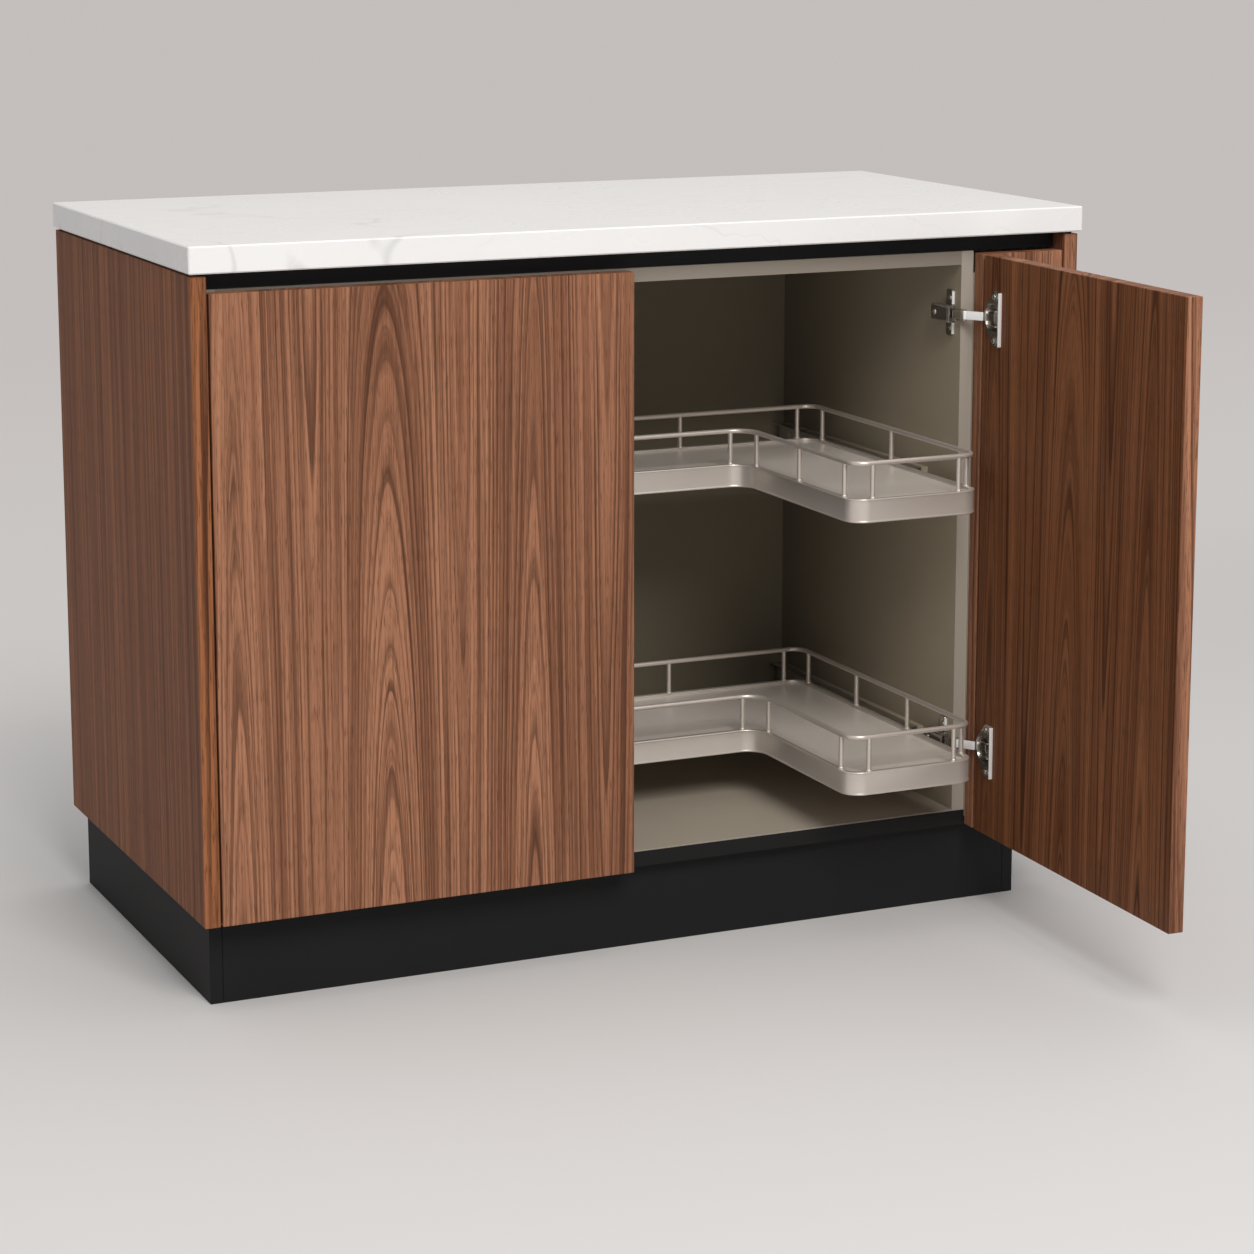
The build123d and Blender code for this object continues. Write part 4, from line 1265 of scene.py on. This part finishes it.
    def adjuster(self) -> None:
        """Large adjusting screw at the rear of the arm."""
        form = Form()
        out, radius, height = self.wall - self.arm_depth - 0.0011, 0.0034, 0.0014
        at = (self.front + 0.057, self.pin.z)
        form.rings([[Way.X.point(at[0] + point.x * radius, at[1] + point.y * radius, out + point.z * height)
                     for point in loop] for loop in cross_head_loops()])
        form.piece(f"adjuster_{self.level}", ZINC, "cabinet", "nickel")


def capsule(start: Vector, end: Vector, radius: float, steps: int = 8) -> list[Point]:
    """Outline of a bar with round ends."""
    turn = math.atan2(end.y - start.y, end.x - start.x)
    return [point for centre, angle in ((end, turn - math.pi / 2), (start, turn + math.pi / 2))
            for point in circle(tuple(centre), radius, steps, angle, math.pi)]


@dataclass
class Fasteners:
    """Screws, set where the CAD solids have them.

    Attributes:
        bodies: CAD node, the body that it rides on, its slot and its finish.
        smallest: Longest side under which a solid is no screw, in metres.
    """

    bodies: tuple[tuple[str, str, str, Finish], ...] = (
        ("hinge_wall_screws", "cabinet", "nickel", NICKEL),
        ("hinge_cup_screws", "door", "nickel", NICKEL),
        ("runner_screws", "cabinet", "zinc", ZINC),
        ("channel_screws", "cabinet", "black_metal", BLACK_METAL),
        ("front_fixing_screws", "cabinet", "zinc", ZINC),
        ("end_panel_screws", "cabinet", "zinc", ZINC),
        ("carcass_screws", "cabinet", "zinc", ZINC),
        ("plinth_screws", "cabinet", "zinc", ZINC))
    smallest: float = 0.006

    def build(self, screws: Pattern) -> None:
        """Build and dress the screws.

        Args:
            screws: Pattern of the threads and the cross heads.
        """
        for node, body, slot, finish in self.bodies:
            groups: dict[tuple[float, ...], list[Fixing]] = {}
            for points in solids_of(node):
                if np.ptp(points, axis=0).max() > self.smallest:
                    fixing = fixing_of(points)
                    groups.setdefault(fixing.size, []).append(fixing)
            meshes = [self.baked(screws, fixings, finish) for fixings in groups.values()]
            shown(node.replace("_screws", "_screw_set"), joined_mesh(meshes), finish, body, slot, node)

    def baked(self, screws: Pattern, fixings: Sequence[Fixing], finish: Finish) -> bpy.types.Mesh:
        """Mesh of the screws of one size."""
        head_radius, head_height, shank_radius, length = fixings[0].size
        start = 0.85 * head_height
        sizes = (start, shank_radius, length - start, head_radius, head_height)
        return screws.baked([fixing.head for fixing in fixings], [fixing.way for fixing in fixings], sizes, finish)


@dataclass
class Casework:
    """Panels, boards and plinth, which keep their CAD shapes.

    Attributes:
        melamine: Colour of the carcass inside.
        back: Colour of the back board, the melamine made darker as painted shade.
        base: Colour of the bottom board, the melamine made paler as painted light.
        edge: Colour of the boards' front edge band.
        front_edge: Colour of the front rail.
    """

    melamine: Colour = (0.27, 0.228, 0.165)
    back: Colour = (0.163, 0.137, 0.092)
    base: Colour = (0.38, 0.33, 0.262)
    edge: Colour = (0.37, 0.325, 0.27)
    front_edge: Colour = (0.25, 0.215, 0.175)

    def dress(self) -> None:
        """Give each board its finish."""
        paint(Walnut("walnut_blind_front", Axis.X, CROWN, 0.3), ["fixed_front_panel"])
        # The left end panel's colours are darkened as painted shade.
        paint(Walnut("walnut_left_end", Axis.Y, STRAIGHT, 2.1, (0.80, 0.66, 0.49)), ["end_panel_left"])
        paint(Walnut("walnut_right_end", Axis.Y, STRAIGHT, 3.4), ["end_panel_right"])
        paint(Walnut("walnut_filler", Axis.X, STRAIGHT, 6.2), ["filler_panel"])
        # The door's inner face is darkened as painted shade.
        paint(Walnut("walnut_door", Axis.X, Cut(0.21), 8.4, inner=(0.70, 0.61, 0.47)), ["door_panel"])
        band = (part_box("carcass_side_right")[0].y + 0.0008, self.edge)
        # The inside melamine is made paler at the front and darker at the rear as painted light.
        paint(Coated("grey_melamine", self.melamine, scaled(self.melamine, 0.93), band=band, painted_light_fall=(1.35, 0.6)), [
            "carcass_side_left", "carcass_side_right", "rear_top_rail", "blind_stile", "filler_cleats",
            "bay_boards", "front_packers", "runner_standoffs"])
        # The bottom board's melamine is made paler as painted light.
        paint(Coated("painted_lit_melamine", self.base, scaled(self.base, 0.93), band=band), ["carcass_bottom"])
        # The back board's melamine is made darker as painted shade.
        paint(Coated("painted_shade_melamine", self.back, scaled(self.back, 0.93)), ["back_panel"])
        paint(Coated("champagne_laminate", self.front_edge, scaled(self.front_edge, 0.94), Sheen.SATIN),
              ["front_top_rail"])
        paint(Coated("black_laminate", (0.0095, 0.0095, 0.010), (0.012, 0.012, 0.0125), gloss=0.17), [
            "plinth_front", "plinth_rear", "plinth_left", "plinth_right"])
        paint(Coated("black_plastic", (0.008, 0.008, 0.008), (0.010, 0.010, 0.010), gloss=0.2), [
            "bottom_edge_strip", "worktop_spacers"])
        paint(BLACK_METAL, ["grip_channel"])
        paint(RawWood("softwood", (0.46, 0.32, 0.18)), ["plinth_bearers", "plinth_corner_blocks"])
        paint(RawWood("beech", (0.55, 0.36, 0.20)), ["carcass_dowels"])
        paint(Quartz(), ["worktop"])


@dataclass
class Runners:
    """Ball runners, gusset and brackets, which keep their CAD shapes."""

    def dress(self) -> None:
        """Give each metal piece its finish."""
        paint(TRAY_LACQUER, ["tray_guide"])
        paint(NICKEL, ["hinge_pins"])
        paint(ZINC, ["panel_brackets"])
        paint(RUNNER_ZINC, [f"{part}_{level}" for part in ("runner_fixed", "runner_moving", "ball_cages")
                            for level in ("upper", "lower")])


@dataclass
class CameraRig:
    """Camera of the photograph.

    Attributes:
        place: Eye point in metres.
        yaw: Turn to the right of straight ahead, in radians.
        pitch: Look up, in radians.
        lens: Focal length in millimetres on a 36 mm sensor.
        shift: Vertical shift of the frame.
    """

    place: tuple[float, float, float] = (-1.56618, -3.40936, 1.2243)
    yaw: float = 0.426
    pitch: float = -0.183
    lens: float = 94.735
    shift: float = -0.1013

    def build(self) -> None:
        """Make the camera and set it as the scene's."""
        data = bpy.data.cameras.new("camera")
        data.lens = self.lens
        data.sensor_width = 36.0
        data.shift_y = self.shift
        data.clip_end = 60.0
        camera = bpy.data.objects.new("camera", data)
        camera.location = self.place
        camera.rotation_euler = Euler((math.pi / 2 + self.pitch, 0.0, -self.yaw))
        bpy.context.scene.collection.objects.link(camera)
        bpy.context.scene.camera = camera


@dataclass
class Studio:
    """Pale seamless floor and backdrop with soft lights.

    Attributes:
        width: Width of the sheet, in metres.
        front: Front edge of the floor.
        back: Where the floor starts to curve up.
        height: Height of the backdrop.
        sweep: Radius of the curve.
        floor: Colour of the floor.
        behind: Colour of the floor behind the cabinet.
        wall: Colour of the backdrop.
        steps: Pieces of the curve.
        ambient: Strength of the even light.
    """

    width: float = 16.0
    front: float = -6.0
    back: float = 5.0
    height: float = 6.0
    sweep: float = 2.0
    floor: Colour = (0.665, 0.65, 0.635)
    behind: Colour = (0.595, 0.570, 0.555)
    wall: Colour = (0.550, 0.518, 0.503)
    steps: int = 24
    ambient: float = 0.475

    def profile(self) -> list[Point]:
        """Points of the sheet from the front edge up to the top."""
        bend = [(self.back + self.sweep * math.sin(a), self.sweep * (1.0 - math.cos(a)))
                for a in (math.pi / 2 * i / self.steps for i in range(self.steps + 1))]
        return [(self.front, 0.0), *bend, (self.back + self.sweep, self.height)]

    def build(self) -> None:
        """Make the sheet, the lights and the world."""
        mesh = bpy.data.meshes.new("seamless_sheet")
        points = self.profile()
        half = self.width / 2
        verts = [(x, y, z) for y, z in points for x in (-half, half)]
        faces = [(2 * i, 2 * i + 1, 2 * i + 3, 2 * i + 2) for i in range(len(points) - 1)]
        mesh.from_pydata(verts, [], faces)
        for polygon in mesh.polygons:
            polygon.use_smooth = True
        sheet = bpy.data.objects.new("seamless_sheet", mesh)
        bpy.context.scene.collection.objects.link(sheet)
        mesh.materials.append(self.paper())
        self.lamp("key_light", (-0.35, -4.1, 4.2), (0.0, 0.0, 0.45), 2.4, 208.0)
        self.lamp("top_light", (0.3, 0.4, 4.4), (0.0, 0.0, 0.8), 3.0, 38.0)
        self.air()

    def paper(self) -> bpy.types.Material:
        """Material of the sheet: paper on the floor, and an even pale tone where it is far behind."""
        g = Graph("studio_paper")
        soft = g.noise(g.place, 0.5, 2.0)
        tone = g.blend(soft.step(0.3, 0.7) * 0.2, self.floor, scaled(self.floor, 0.95))
        g.surface(Base_Color=tone, Roughness=0.85)
        paper = next(node for node in g.tree.nodes if node.type == "BSDF_PRINCIPLED")
        out = next(node for node in g.tree.nodes if node.type == "OUTPUT_MATERIAL")
        depth = g.split()[1]
        glow = g.node("ShaderNodeEmission", inputs={
            "Color": g.blend(depth.step(1.5, self.back + 1.0), self.behind, self.wall), "Strength": 1.0})
        rays = g.node("ShaderNodeLightPath").outputs
        seen = g.maths("MAXIMUM", g.maths("MAXIMUM", Sock(g, rays["Is Camera Ray"]), Sock(g, rays["Is Glossy Ray"])),
                       Sock(g, rays["Is Transmission Ray"]))
        far = depth.step(0.5, 2.2)
        mix = g.node("ShaderNodeMixShader", inputs={0: far * seen})
        g.tree.links.new(paper.outputs[0], mix.inputs[1])
        g.tree.links.new(glow.outputs[0], mix.inputs[2])
        g.tree.links.new(mix.outputs[0], out.inputs["Surface"])
        return g.material

    def lamp(self, name: str, place: Sequence[float], aim: Sequence[float], size: float, power: float) -> None:
        """Add one soft square lamp.

        Args:
            name: Name of the lamp.
            place: Where it stands.
            aim: What it faces.
            size: Side of its square.
            power: Power in watts.
        """
        data = bpy.data.lights.new(name, "AREA")
        data.size = size
        data.energy = power
        data.color = (1.0, 0.985, 0.965)
        lamp = bpy.data.objects.new(name, data)
        lamp.location = place
        lamp.rotation_euler = (Vector(aim) - Vector(place)).to_track_quat("-Z", "Y").to_euler()
        bpy.context.scene.collection.objects.link(lamp)

    def air(self) -> None:
        """Even ambient light, with a pale background for the camera and in reflections."""
        world = bpy.data.worlds.new("studio_air")
        world.use_nodes = True
        tree = world.node_tree
        even = tree.nodes["Background"]
        even.inputs["Color"].default_value = (0.96, 0.97, 1.0, 1.0)
        even.inputs["Strength"].default_value = self.ambient
        pale = tree.nodes.new("ShaderNodeBackground")
        pale.inputs["Color"].default_value = (*self.wall, 1.0)
        path = tree.nodes.new("ShaderNodeLightPath")
        first = tree.nodes.new("ShaderNodeMath")
        first.operation = "MAXIMUM"
        both = tree.nodes.new("ShaderNodeMath")
        both.operation = "MAXIMUM"
        mix = tree.nodes.new("ShaderNodeMixShader")
        tree.links.new(path.outputs["Is Camera Ray"], first.inputs[0])
        tree.links.new(path.outputs["Is Glossy Ray"], first.inputs[1])
        tree.links.new(first.outputs[0], both.inputs[0])
        tree.links.new(path.outputs["Is Transmission Ray"], both.inputs[1])
        tree.links.new(both.outputs[0], mix.inputs[0])
        tree.links.new(even.outputs[0], mix.inputs[1])
        tree.links.new(pale.outputs[0], mix.inputs[2])
        tree.links.new(mix.outputs[0], tree.nodes["World Output"].inputs["Surface"])
        bpy.context.scene.world = world


def main() -> None:
    """Build and dress everything, then report the pieces."""
    logging.basicConfig(level=logging.INFO)
    bpy.context.scene.view_settings.view_transform = "Standard"
    Casework().dress()
    Runners().dress()
    posts = Pattern("posts_on_rim", Shape.ROD, Shape.COLLAR)
    for tray in (Tray("upper", 0.146), Tray("lower", 0.215)):
        tray.build(posts)
    for level in ("upper", "lower"):
        Hinge(level).build()
    Fasteners().build(Pattern("screws_in_place", Shape.THREAD, Shape.CROSS_HEAD))
    Studio().build()
    CameraRig().build()


if __name__ == "__main__":
    main()
